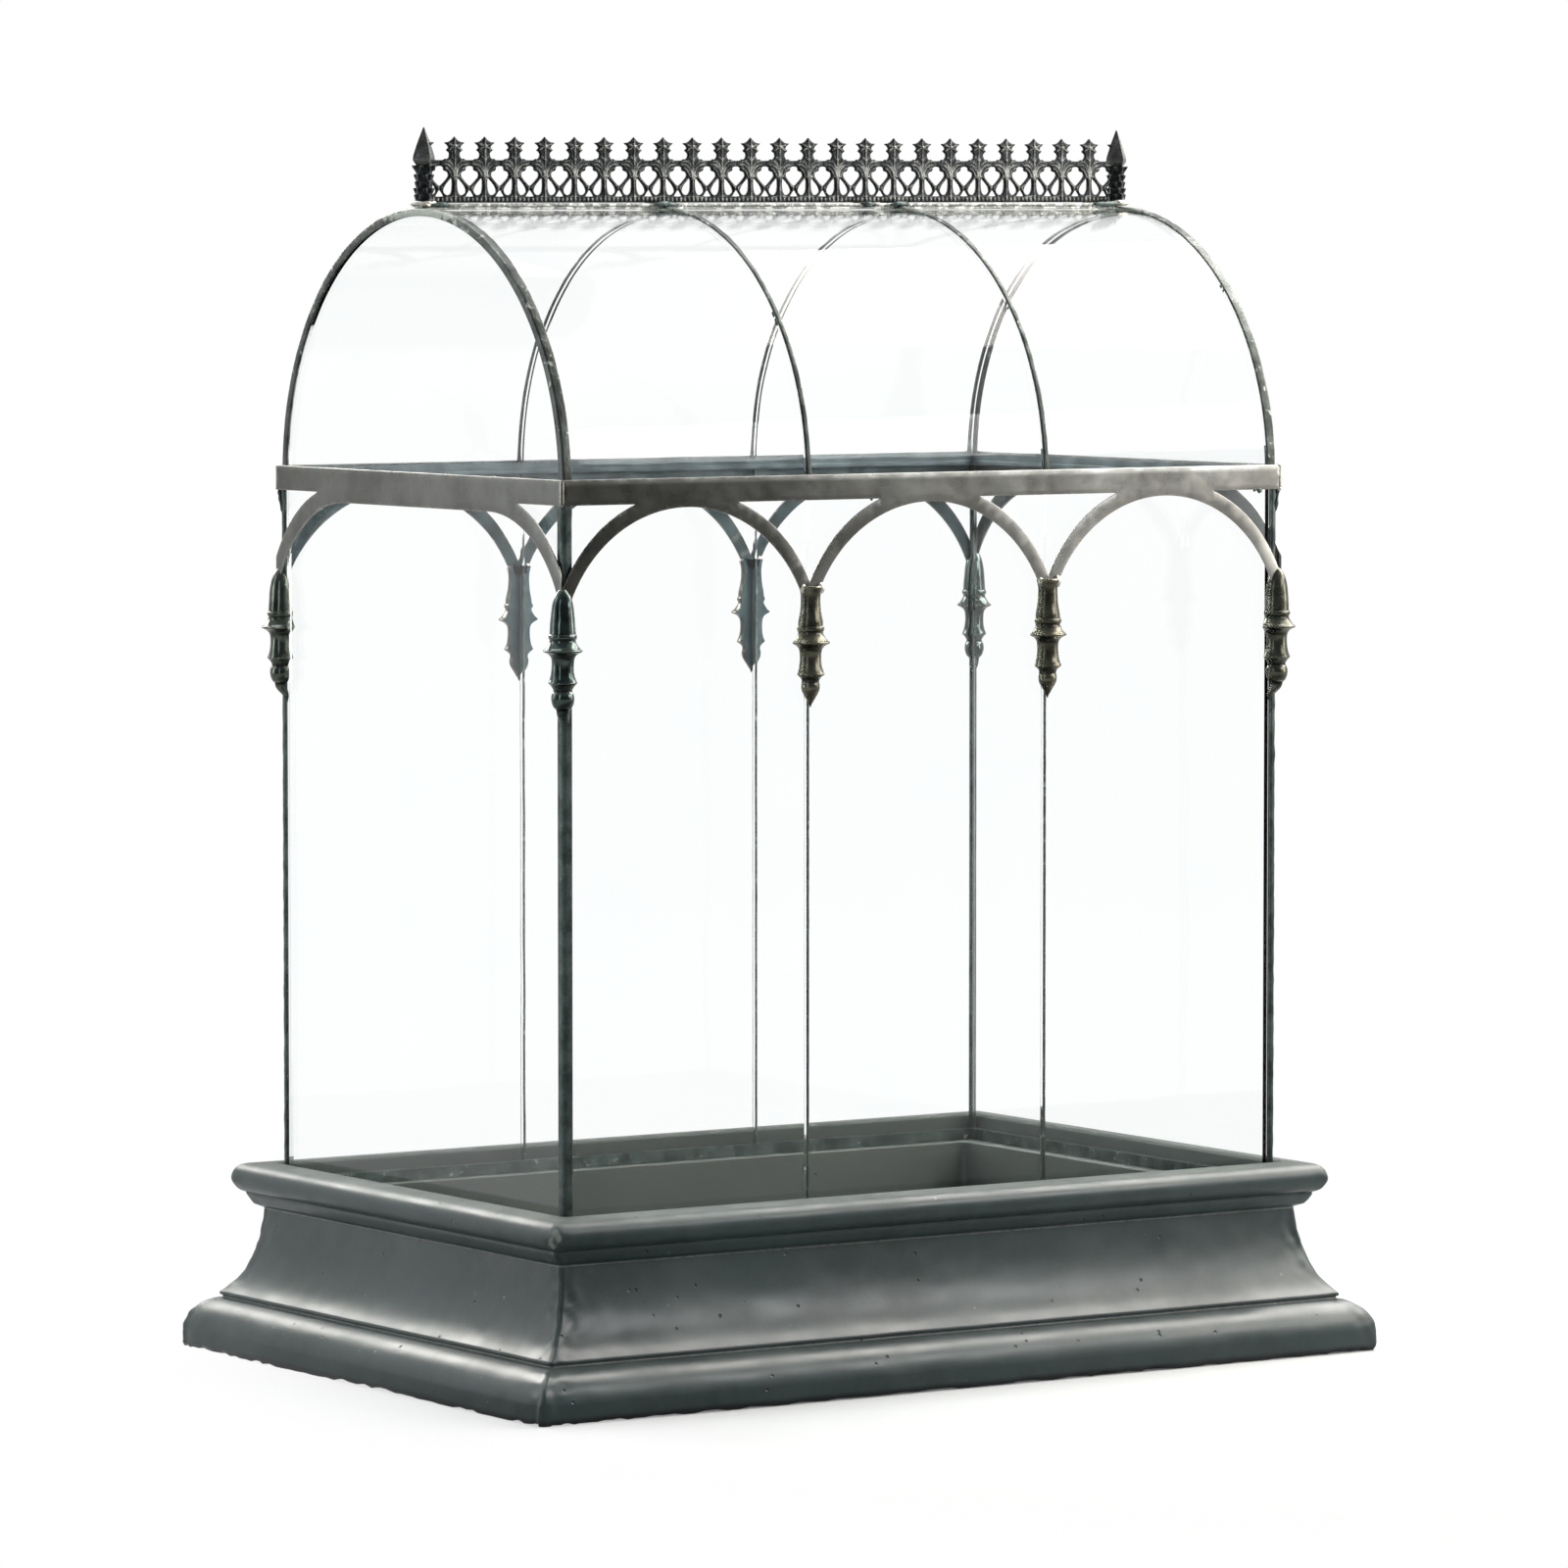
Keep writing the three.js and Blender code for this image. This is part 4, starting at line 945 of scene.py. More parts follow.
def mullion_surface(x, side, seed):
    """A flange outside, a web between the panes and a bead inside, carried up; they vary a little in width. Behind
    the capital the bead is as wide as the gap between the panes."""
    face = FLANGE_SHARE * (mullion_high[0] - mullion_low[0])
    half = (mullion_high[1] - mullion_low[1]) / 2
    lip, web = MULLION_LIP, MULLION_WEB

    def outline(bead):
        corners = np.array([(-face, -half), (face, -half), (face, lip - half), (web, lip - half), (web, half - lip),
                            (bead, half - lip), (bead, half), (-bead, half), (-bead, half - lip),
                            (-web, half - lip), (-web, lip - half), (-face, lip - half)])
        return rounded(corners * (1, -side), 0.35 * MM, 3)

    cap_low, cap_high = span("capital_front_1")
    strip_top = cap_high[2] - MULLION_HIDDEN
    height = np.append(np.arange(mullion_low[2], strip_top, 3 * MM), strip_top)
    behind = ease(height, cap_low[2] + 2 * MM, cap_low[2] + 8 * MM)[:, None, None]
    section = outline(BEAD_HALF) * (1 - behind) + outline(BEAD_BEHIND) * behind
    middle = abs(mullion_low[1] + mullion_high[1]) / 2
    path = np.stack([0 * height + x, 0 * height + side * middle, height], axis=-1)
    swell = 1 + 0.1 * waves(path, 10 * MM, seed)
    across = np.stack([swell, 0 * swell, 0 * swell], axis=-1)
    return skin(carried(section, path, across, np.tile([0, 1.0, 0], (len(path), 1))))


mullions = []
for wall, side in (("front", -1), ("back", 1)):
    for number, x in ((1, -bay_edge), (2, bay_edge)):
        node_name = f"mullion_{wall}_{number}"
        surface = mullion_surface(x, side, seed=30 + 2 * number + side)
        mullions.append(piece(node_name + "_beaded", [surface], STRIP, stands_for=[node_name]))
said("mullions", *mullions)

# %% [markdown]
# ## Panes and hidden channels
#
# The flat panes, the half-round end panes and the sills have the right shape already, so the CAD nodes stay and only
# get their finish. The shoulder bars behind the band get round edges and a thin leaf of strip inside, whose top can
# be seen through the glass. The bent panes are made again as smooth sheets, because their facets would show in the
# reflections.

# %% Kept CAD nodes
kept = {"sill_": SKIN, "pane_": GLASS, "end_light_": GLASS}
dressed = 0
for name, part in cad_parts.items():
    for start_of_name, material in kept.items():
        if name.startswith(start_of_name):
            part.data.materials.clear()
            part.data.materials.append(material)
            dressed += 1
print("CAD nodes that stay:", dressed)


# %% Shoulder bars
def bar(low, high, along, seed, radius=0.6 * MM, **marks):
    """A box between two corners with rounded long edges and a faint wave, carried along X or Y."""
    across = 1 - along
    middle, half = (low + high) / 2, (high - low) / 2
    outline = [(-half[across], -half[2]), (half[across], -half[2]), (half[across], half[2]), (-half[across], half[2])]
    section = rounded(outline, radius, 4)
    way = np.linspace(low[along], high[along], max(2, int((high[along] - low[along]) / (4 * MM))))
    path = np.tile(middle, (len(way), 1))
    path[:, along] = way
    path[:, 2] += 0.12 * MM * waves(path, 45 * MM, seed)
    side = np.zeros_like(path)
    side[:, across] = 1
    up = np.tile([0, 0, 1.0], (len(way), 1))
    return skin(carried(np.broadcast_to(section, (len(way), *section.shape)), path, side, up), **marks)


LEAF_INSET, LEAF_THICK, LEAF_HEIGHT, LEAF_SUNK = 4.4 * MM, 0.5 * MM, 3.6 * MM, 1 * MM
leaf_reach = house - LEAF_INSET
bars = []
for number, wall in enumerate(("front", "back", "left", "right")):
    node_name = "shoulder_bar_" + wall
    low, high = span(node_name)
    along = 0 if wall in ("front", "back") else 1
    across = 1 - along
    sign = np.sign(low[across] + high[across])
    leaf_low, leaf_high = low.copy(), high.copy()
    leaf_low[across], leaf_high[across] = sorted(sign * (leaf_reach[across] - inner) for inner in (0, LEAF_THICK))
    leaf_low[along], leaf_high[along] = -leaf_reach[along], leaf_reach[along]
    leaf_low[2], leaf_high[2] = high[2] - LEAF_SUNK, high[2] + LEAF_HEIGHT
    surfaces = [bar(low, high, along, seed=40 + number, inside=1.0, band=1.0),
                bar(leaf_low, leaf_high, along, seed=44 + number, radius=0.2 * MM, inside=1.0, band=1.0)]
    bars.append(piece(node_name + "_rounded", surfaces, SHEET, stands_for=[node_name]))
said("shoulder bars", *bars)

# %% Bent panes
rib_low, rib_high = span("rib_right")
spring = rib_low[2]
crown_radius = rib_high[1]
PANE_THICK = 2.5 * MM
PANE_ARC_STEPS, PANE_LONG_STEPS = 72, 20
PANE_SAG = 0.12 * MM


def bent_pane(node_name, seed):
    """A quarter ring carried along X: spring line plus radius times cosine and sine, outside and back inside."""
    low, high = span(node_name)
    side = np.sign(low[1] + high[1])
    reach = np.abs([low[1], high[1]]).max()
    top = np.arcsin((high[2] - spring) / reach)
    outer = circle_part(0, 0, reach, 0, top, PANE_ARC_STEPS)
    inner = circle_part(0, 0, reach - PANE_THICK, top, 0, PANE_ARC_STEPS)
    section = np.vstack([outer, inner])
    way = np.linspace(low[0], high[0], PANE_LONG_STEPS)
    rows = np.empty((len(way), len(section), 3))
    rows[..., 0] = way[:, None]
    rows[..., 1] = side * section[:, 0]
    rows[..., 2] = spring + section[:, 1]
    sag = PANE_SAG * np.abs(waves(rows, 90 * MM, seed))
    rows[..., 1] -= side * sag * (section[:, 0] / reach)
    return skin(rows)


panes = []
for wall in ("front", "back"):
    for number in (1, 2, 3):
        node_name = f"roof_pane_{wall}_{number}"
        surface = bent_pane(node_name, seed=50 + number)
        panes.append(piece(node_name + "_bent", [surface], GLASS, stands_for=[node_name], sharp=30))
said("bent panes", *panes)

# %% [markdown]
# ## Roof ribs and ridge
#
# Two angle ribs close the ends of the roof and two tees run between its panes. Each is a half ring. A torus would
# have the wrong section, so a rounded section is carried round the arc, widens into a small foot at each end, swells
# a little along the way and is marked as tinned near the crown, where more bright blotches are partly a painted
# highlight of the light that the crown mirrors. The ridge is a flat strip over their crowns.


# %% Ribs
RIB_STEPS = 181
# how far the feet reach, and how far from the crown the tinning and its painted highlight reach
FOOT_LENGTH, CROWN_TIN_SHEEN_LENGTH = 6 * MM, 34 * MM


def rib_surface(outline, radius, place_x, mirror, foot, seed):
    """A section of width (along X) and height (along the arc's radius) carried round half a circle. An end rib's
    section is mirrored (-1 or 1) and widens to one side only; a middle rib (0) widens to both."""
    angle = np.linspace(0, TURN / 2, RIB_STEPS)
    section = rounded(outline, radius, 4)
    out = np.stack([0 * angle, np.cos(angle), np.sin(angle)], axis=-1)
    path = np.tile([place_x, 0, spring], (len(angle), 1))
    from_foot = crown_radius * np.minimum(angle, TURN / 2 - angle)
    widen = 1 + foot * np.exp(-((from_foot / FOOT_LENGTH) ** 2))
    shape = np.broadcast_to(section, (len(angle), *section.shape)).copy()
    edge = section[:, 0].max()
    shape[..., 0] = edge - (edge - shape[..., 0]) * widen[:, None] if mirror else shape[..., 0] * widen[:, None]
    rows = carried(shape, path, np.tile([mirror or 1.0, 0, 0], (len(angle), 1)), out)
    lump = 0.12 * MM * waves(rows, 14 * MM, seed) + 0.06 * MM * waves(rows, 4 * MM, seed + 1)
    outward = ease(shape[..., 1], crown_radius - 1.4 * MM, crown_radius - 0.3 * MM)
    rows += out[:, None] * (lump * outward)[..., None]
    # More bright blotches near the crown: tinning, and a painted highlight of the light that the crown mirrors.
    from_crown = crown_radius * np.abs(angle - TURN / 4)
    return skin(rows, tin=np.exp(-((from_crown / CROWN_TIN_SHEEN_LENGTH) ** 2))[:, None])


# %% Rib sections
END_WIDTH, END_FACE, FLANGE, MIDDLE_WIDTH, WEB = 5.4 * MM, 4.5 * MM, 1.3 * MM, 3 * MM, 0.8 * MM
top = crown_radius + 0.1 * MM
end_outline = [(0, top), (0, top - END_FACE), (-FLANGE, top - END_FACE), (-FLANGE, top - FLANGE),
               (-END_WIDTH, top - FLANGE), (-END_WIDTH, top)]
end_radii = np.array([1.1, 0.5, 0.4, 0.3, 0.5, 0.6]) * MM
web_low = span("roof_pane_front_1")[1][2] - spring - PANE_THICK
tee_half = [(WEB / 2, web_low), (WEB / 2, top - FLANGE), (MIDDLE_WIDTH / 2, top - FLANGE), (MIDDLE_WIDTH / 2, top)]
tee_mirrored = [(-x, z) for x, z in tee_half[::-1]]
tee_outline = tee_mirrored[-1:] + tee_half + tee_mirrored[:-1]
tee_radii = np.array([0.2, 0.2, 0.2, 0.5, 0.9, 0.9, 0.5, 0.2]) * MM

END_FOOT, MIDDLE_FOOT = 0.2, 0.45
ribs = []
for name, sign in (("left", -1), ("right", 1)):
    surface = rib_surface(end_outline, end_radii, sign * house[0], sign, END_FOOT, seed=60 + sign)
    ribs.append(piece(f"rib_{name}_dressed", [surface], RIB, stands_for=["rib_" + name]))
for number, x in ((1, -bay_edge), (2, bay_edge)):
    surface = rib_surface(tee_outline, tee_radii, x, 0, MIDDLE_FOOT, seed=64 + number)
    ribs.append(piece(f"rib_{number}_dressed", [surface], RIB, stands_for=[f"rib_{number}"]))
said("ribs", *ribs)

# %% Ridge
ridge_low, ridge_high = span("ridge")
RIDGE_THICK = 1.8 * MM
RAIL_WIDTH = 5 * MM
RAIL_GAP = 2 * MM


def ridge_parts():
    """The strip over the crowns, then a narrow rail under it in each bay."""
    strip_low = np.array([ridge_low[0], ridge_low[1], ridge_high[2] - RIDGE_THICK])
    parts = [bar(strip_low, ridge_high, 0, seed=70, radius=0.8 * MM)]
    stops = np.array([ridge_low[0] + END_WIDTH, -bay_edge, bay_edge, ridge_high[0] - END_WIDTH])
    for start_x, end_x in zip(stops[:-1], stops[1:]):
        low = np.array([start_x + RAIL_GAP, -RAIL_WIDTH / 2, ridge_low[2]])
        high = np.array([end_x - RAIL_GAP, RAIL_WIDTH / 2, ridge_high[2] - RIDGE_THICK / 2])
        parts.append(bar(low, high, 0, seed=71, radius=0.4 * MM))
    return parts


ridge = piece("ridge_strip", ridge_parts(), TINNED, stands_for=["ridge"])
said("ridge", ridge)

# %% [markdown]
# ## Sheets cut to an outline
#
# The arcades and the cresting are sheets with holes, which no grid of rows and columns fits. Here the outline is
# drawn from arcs and smooth lines, a triangulation fills it with evenly spread points, and the same net is used
# twice, for the front and for the back. Between them run five narrow strips that round the cut edge. Because the
# net has points inside, the sheet can also be raised into a relief.


# %% Sheet helpers
def inside_of(points, loops):
    """True for points inside the loops by the even-odd rule: how often a ray to the right crosses a loop."""
    crossed = np.zeros(len(points), int)
    for loop in loops:
        a, b = loop, np.roll(loop, -1, axis=0)
        low, high = a[None, :, 1] <= points[:, None, 1], b[None, :, 1] <= points[:, None, 1]
        rise = np.where(a[:, 1] == b[:, 1], 1, b[:, 1] - a[:, 1])
        x = a[None, :, 0] + (points[:, None, 1] - a[None, :, 1]) / rise * (b - a)[None, :, 0]
        crossed += ((low != high) & (x > points[:, None, 0])).sum(axis=1)
    return crossed % 2 == 1


def distance_to(points, starts, ends):
    """The shortest distance from each point to a set of straight lines."""
    step = ends - starts
    share = ((points[:, None] - starts) * step).sum(axis=-1) / np.maximum((step**2).sum(axis=-1), 1e-18)
    nearest = starts + np.clip(share, 0, 1)[..., None] * step
    return np.linalg.norm(points[:, None] - nearest, axis=-1).min(axis=1)


def drawn_in(loop, depth):
    """A loop moved towards the material, which lies to its left, by depth: each point along the bisector of its
    corner."""
    before, after = loop - np.roll(loop, 1, axis=0), np.roll(loop, -1, axis=0) - loop
    before = before / np.linalg.norm(before, axis=1, keepdims=True)
    after = after / np.linalg.norm(after, axis=1, keepdims=True)
    normal = np.stack([-(before + after)[:, 1], (before + after)[:, 0]], axis=-1)
    length = np.linalg.norm(normal, axis=1, keepdims=True)
    normal = normal / np.maximum(length, 0.3)
    return loop + normal * depth * 2 / np.maximum(length, 1.1)


def left_handed(loop, is_hole):
    """Turns a loop so that the material lies to its left: the outside runs anticlockwise and a hole clockwise."""
    after = np.roll(loop, -1, axis=0)
    area = (loop[:, 0] * after[:, 1] - after[:, 0] * loop[:, 1]).sum()
    return loop[::-1] if (area > 0) == is_hole else loop


def cut_sheet(loops, spacing, edge, thick):
    """A sheet of a given thickness in X and Z whose cut edges are rounded by edge. Returns its points as
    (x, depth from the front, z), its faces, which side each point is on (-1 front, 1 back, 0 on the cut) and its
    distance from the cut."""
    loops = [left_handed(np.asarray(loop), number > 0) for number, loop in enumerate(loops)]
    rings = [loops, [drawn_in(loop, 0.3 * edge) for loop in loops], [drawn_in(loop, edge) for loop in loops]]
    depths = [edge, 0.3 * edge, 0]
    last = rings[2]
    low, high = np.min(last[0], axis=0), np.max(last[0], axis=0)
    across = np.arange(low[0], high[0], spacing)
    up = np.arange(low[1], high[1], spacing * 0.87)
    grid = np.stack(np.meshgrid(across, up), axis=-1)
    grid[1::2, :, 0] += spacing / 2
    grid = grid.reshape(-1, 2)
    starts, ends = np.vstack(last), np.vstack([np.roll(loop, -1, axis=0) for loop in last])
    grid = grid[inside_of(grid, last)]
    grid = grid[distance_to(grid, starts, ends) > 0.45 * spacing]
    count = len(starts)
    first = np.cumsum([0] + [len(loop) for loop in last[:-1]])
    edges = [(int(f + i), int(f + (i + 1) % len(loop))) for f, loop in zip(first, last) for i in range(len(loop))]
    flat = np.vstack([starts, grid])
    net = delaunay_2d_cdt([Vector(p) for p in flat], edges, [], 0, 1e-9, True)
    triangles = np.array([[net[3][i][0] for i in face] for face in net[2] if all(net[3][i] for i in face)])
    triangles = triangles[inside_of(flat[triangles].mean(axis=1), last)]

    points, faces, side = [], [], []
    total = 0
    shells = []
    for facing, sign in ((-1, 1), (1, -1)):
        base = 0 if facing < 0 else thick
        sheets = [np.insert(flat, 1, base, axis=1)]
        sheets += [np.insert(np.vstack(rings[k]), 1, base + sign * depths[k], axis=1) for k in (1, 0)]
        offsets = np.cumsum([0] + [len(s) for s in sheets]) + total
        turned = triangles if facing < 0 else triangles[:, ::-1]
        faces += (turned + offsets[0]).tolist()
        points += sheets
        side += [np.full(len(flat), facing), np.full(count, facing), np.zeros(count)]
        shells.append(offsets)
        total = offsets[-1]
    ladders = [(shells[0][0], shells[0][1]), (shells[0][1], shells[0][2]), (shells[0][2], shells[1][2]),
               (shells[1][2], shells[1][1]), (shells[1][1], shells[1][0])]
    a, b = np.array(edges).T
    for upper, lower in ladders:
        faces += np.stack([b + upper, a + upper, a + lower, b + lower], axis=-1).tolist()
    points, side = np.vstack(points), np.concatenate(side)
    from_cut = distance_to(points[:, [0, 2]], np.vstack(loops), np.vstack([np.roll(l, -1, axis=0) for l in loops]))
    return points, faces, side, from_cut


print("sheet helpers ready")

# %% [markdown]
# ## Arcades
#
# On each side one sheet hangs from the shoulder bars: a straight band with arched strips below it that run down into
# the capitals. Its cut edges are rubbed bright. The outline is drawn from nearly the same radii as the solid's, with
# enough points for smooth arcs. As in hand-cut metal, the strips narrow towards their feet, the front's bays stand a
# little out of place and the sheet has a faint wave.

# %% Arcade outlines
SHEET_THICK = 1.5 * MM
ARC_STEP = 1.6 * MM
arcade_half = {"long": arcade_high[0], "short": span("arcade_left")[1][1]}
LONG_ARCH = {"radius": 75.6 * MM, "width": 8 * MM, "drop": 2 * MM}
END_ARCH = {"radius": 74 * MM, "width": 9.5 * MM, "drop": 5 * MM, "spread": 6 * MM}
FOOT_SHARE = 0.86
BAY_SHIFTS = np.array([-1.2, -0.6, 0.4]) * MM


def sweep(x, z, radius, start, end):
    """An arc in steps of about the same length."""
    return circle_part(x, z, radius, start, end, max(2, int(abs(end - start) * radius / ARC_STEP)))


def stepped(line, step):
    """Adds points along the straight stretches of a closed line, so that none is longer than step."""
    after = np.roll(line, -1, axis=0)
    counts = np.maximum(1, np.ceil(np.linalg.norm(after - line, axis=1) / step).astype(int))
    owner = np.repeat(np.arange(len(line)), counts)
    share = (np.arange(len(owner)) - np.repeat(np.cumsum(counts) - counts, counts)) / counts[owner]
    return line[owner] + (after - line)[owner] * share[:, None]


def strip_edge(x, z, radius, width, stop_x, stop_z):
    """The outer edge of an arched strip, from the band down to the height stop_z or, if that comes first, to
    stop_x. Its width grows from FOOT_SHARE at the foot to the whole at the top."""
    angle = np.radians(np.linspace(0, 90, 1801))
    reach = radius + width * (FOOT_SHARE + (1 - FOOT_SHARE) * ease(np.degrees(angle), 15, 60))
    across, up = x + reach * np.cos(angle), z + reach * np.sin(angle)
    lowest = max(np.interp(stop_z, up, angle), np.interp(-stop_x, -across, angle))
    highest = np.interp(band_low, up, angle)
    chosen = np.linspace(highest, lowest, max(2, int((highest - lowest) * radius / ARC_STEP)))
    return np.stack([np.interp(chosen, angle, across), np.interp(chosen, angle, up)], axis=-1)


def arcade_loops(half, arches, radius, width, drop):
    """The outside of the sheet, then the curved triangles between its arches. Each arch is a pair of centres, from
    which its inner edge and, width further out, its outer edge are drawn."""
    centre = band_low - drop - radius
    foot = lambda r: np.arcsin((strip_foot - centre) / r)
    legs = []
    for last in (arches[-1][1], -arches[0][0]):
        leg = strip_edge(last, centre, radius, width, half, strip_foot)
        leg = [(half, band_top), (half, band_low), *leg]
        if leg[-1][1] > strip_foot + 0.1 * MM:
            leg.append((half, strip_foot))
        legs.append(np.array(leg))
    right, left = legs
    outline = [right]
    for left_centre, right_centre in arches[::-1]:
        rise = sweep(right_centre, centre, radius, foot(radius), TURN / 4)
        fall = sweep(left_centre, centre, radius, TURN / 4, TURN / 2 - foot(radius))
        outline += [rise, fall[1:] if left_centre == right_centre else fall]
    outline.append((left * (-1, 1))[::-1])
    loops = [stepped(np.vstack(outline), 3 * MM)]
    for (_, low), (high, _) in zip(arches[:-1], arches[1:]):
        down = strip_edge(low, centre, radius, width, (low + high) / 2, strip_foot)
        up = (down * (-1, 1) + (low + high, 0))[::-1][1:]
        loops.append(stepped(np.vstack([down, up]), 3 * MM))
    return loops


# %% Arcade sheets
WALLS = {"front": (0, -1), "back": (0, 1), "left": (-1, 0), "right": (1, 0)}
SHEET_GRID, SHEET_EDGE = 4 * MM, 0.32 * MM
STRIP_DEPTH = 0.62
SHEET_WAVE = 0.1 * MM
# how much of the darker inner tone, partly painted shade, each wall gets; the right wall's inner face is darkened less
INSIDE_MARK = {"right": 0.4}
SIDE_TARNISH = 0.65


def stood(points, wall, outer_face):
    """Turns a sheet drawn as (x, depth, z) to its wall: x runs along the wall, and depth inwards from its face."""
    x, depth, z = points.T
    side_x, side_y = WALLS[wall]
    out = outer_face - depth
    return np.stack([-side_y * x + side_x * out, side_x * x + side_y * out, z], axis=-1)


def arcade(wall, seed):
    """The sheet of one wall, mitred at its ends, gently waved, with its rubbed edges, its inner face and a darker tone
    marked. On the front that tone is a painted shade that deepens towards the near corner.
    """
    is_long = wall in ("front", "back")
    half = arcade_half["long" if is_long else "short"]
    if is_long:
        middles = (np.arange(3) - 1) * 2 * bay_edge + BAY_SHIFTS * (wall == "front")
        arches = [(m, m) for m in middles]
        loops = arcade_loops(half, arches, **LONG_ARCH)
        outer_face = -arcade_low[1]
    else:
        centre = house[1] + END_ARCH["spread"] - END_ARCH["radius"]
        loops = arcade_loops(half, [(-centre, centre)], END_ARCH["radius"], END_ARCH["width"], END_ARCH["drop"])
        outer_face = span("arcade_right")[1][0]
    points, faces, side, from_cut = cut_sheet(loops, SHEET_GRID, SHEET_EDGE, SHEET_THICK)
    points[:, 1] *= STRIP_DEPTH + (1 - STRIP_DEPTH) * ease(points[:, 2], band_low - 1 * MM, band_low + 1 * MM)
    points[:, 0] = np.clip(points[:, 0], points[:, 1] - half, half - points[:, 1])
    from_end = ease(half - np.abs(points[:, 0]), 0, 8 * MM)
    points[:, 1] += SHEET_WAVE * (1 + waves(points, 55 * MM, seed)) * from_end
    along = points[:, 0] + 10 * MM * waves(points, 60 * MM, seed + 7)
    marks = {
        "arris": 1 - ease(from_cut, 0.1 * MM, 0.6 * MM),
        "inside": np.where(side > 0, INSIDE_MARK.get(wall, 1.0), 0.0),
        # On the front a painted shade, darkest at the near corner; on the sides a uniform darker tone.
        "tarnish": 1 - ease(along, -half, half) if wall == "front" else np.full(len(points), SIDE_TARNISH),
    }
    marks["band"] = ease(points[:, 2], band_low - 1 * MM, band_low + 3 * MM) * marks["inside"]
    return stood(points, wall, outer_face), faces, marks


arcades = []
for number, wall in enumerate(WALLS):
    sheet_part = arcade(wall, seed=80 + number)
    name = f"arcade_{wall}_sheet"
    arcades.append(piece(name, [sheet_part], SHEET, stands_for=["arcade_" + wall], sharp=50))
said("arcades", *arcades)

# %% [markdown]
# ## Capitals
#
# Where the strips of two arches meet, a turned pewter casting covers them: a ball with a tip, a ring, a waist, a
# wide flange with a thin lip, and a tall body. The four on the long walls end in an open mouth with a lobe of
# solder at each strip, and the four at the corners close in a pointed arch. A turned shape is a profile of radii and
# heights spun round its axis. Points that would lie inside the wall are pushed out to it, which cuts the flat back
# and the notch for the post.

# %% Capital profiles
CAPITAL_HEIGHT = 63 * MM
FLANGE_RADIUS = 10.1 * MM
CAPITAL_TURN_STEPS = 64
foot_shares = [(0.337, 0.008), (0.46, 0.03), (0.55, 0.062), (0.59, 0.1), (0.56, 0.138), (0.485, 0.162), (0.5, 0.178),
               (0.6, 0.203), (0.7, 0.219), (0.727, 0.226), (0.71, 0.236), (0.66, 0.256), (0.6, 0.292), (0.565, 0.34),
               (0.565, 0.39), (0.6, 0.425), (0.7, 0.449), (0.85, 0.466), (0.93, 0.4715), (0.97, 0.474), (1, 0.48),
               (1, 0.488), (0.97, 0.493), (0.93, 0.4955), (0.85, 0.508), (0.75, 0.532), (0.69, 0.55), (0.66, 0.566),
               (0.672, 0.575), (0.71, 0.584), (0.725, 0.597), (0.71, 0.61), (0.67, 0.619), (0.66, 0.632),
               (0.65, 0.66)]
ball_shares = [(0.14, -0.004), (0.26, 0.031), (0.39, 0.067), (0.475, 0.101), (0.485, 0.137), (0.45, 0.167),
               (0.51, 0.193)]
pointed_shares = [(0.615, 0.74), (0.575, 0.81), (0.515, 0.865), (0.42, 0.912), (0.3, 0.95), (0.16, 0.98),
                  (0.06, 0.995)]
mouth_shares = [(0.56, 0.73), (0.52, 0.8), (0.515, 0.86), (0.55, 0.9), (0.6, 0.932), (0.57, 0.945), (0.49, 0.942),
                (0.43, 0.92), (0.38, 0.88), (0.2, 0.86)]
TAILS = {"mullion": 3 * MM, "corner": 11 * MM}
capital_low = span("capital_front_1")[0][2] + TAILS["mullion"]


def capital_profile(top_shares, tail, tip_share, wide, slim_ball):
    """Radius and height from the tip of the tail to the top, smooth through all the points."""
    tail_height = tail / CAPITAL_HEIGHT
    start_shares = [(wide * share, -up * tail_height) for share, up in ((0.06, 1), (0.4, 0.75), (0.8, 0.35))]
    shares = start_shares + (ball_shares + foot_shares[8:] if slim_ball else foot_shares) + top_shares
    line = through(shares, 4) * (FLANGE_RADIUS, CAPITAL_HEIGHT)
    line = np.vstack([[(0, line[0, 1])], line, [(0, tip_share * CAPITAL_HEIGHT)]])
    return np.maximum(line, (0, -tail))


def spun(line):
    """Radius times cosine, radius times sine, height: a profile turned round the Z axis."""
    angle = np.arange(CAPITAL_TURN_STEPS) * TURN / CAPITAL_TURN_STEPS
    x, y = line[:, :1] * np.cos(angle), line[:, :1] * np.sin(angle)
    return np.stack([x, y, np.broadcast_to(line[:, 1:], x.shape)], axis=-1)


def hollows_and_rounds(line):
    """How far the profile turns at each point: positive on rounds and arrises, negative in hollows."""
    step = np.diff(line, axis=0)
    heading = np.unwrap(np.arctan2(step[:, 1], step[:, 0]))
    turning = np.append(np.diff(heading, prepend=heading[0]), 0)
    soft = np.convolve(turning, (0.25, 0.5, 0.25), "same")
    return np.clip(soft / 0.3, 0, 1)[:, None], np.clip(-soft / 0.22, 0, 1)[:, None]


# %% Capitals
WALL_GAP = 0.25 * MM
MULLION_AXIS_OUT = 1.7 * MM
CORNER_AXIS_OUT = 0.6 * MM
CORNER_BACK = 6.3 * MM
CAST_WAVE = 0.012
BACK_SCALE = 1.1
TAIL_TUCK = 2.6 * MM
mullion_face = house[1] - 0.9 * MM
glass_face = house - 1.6 * MM


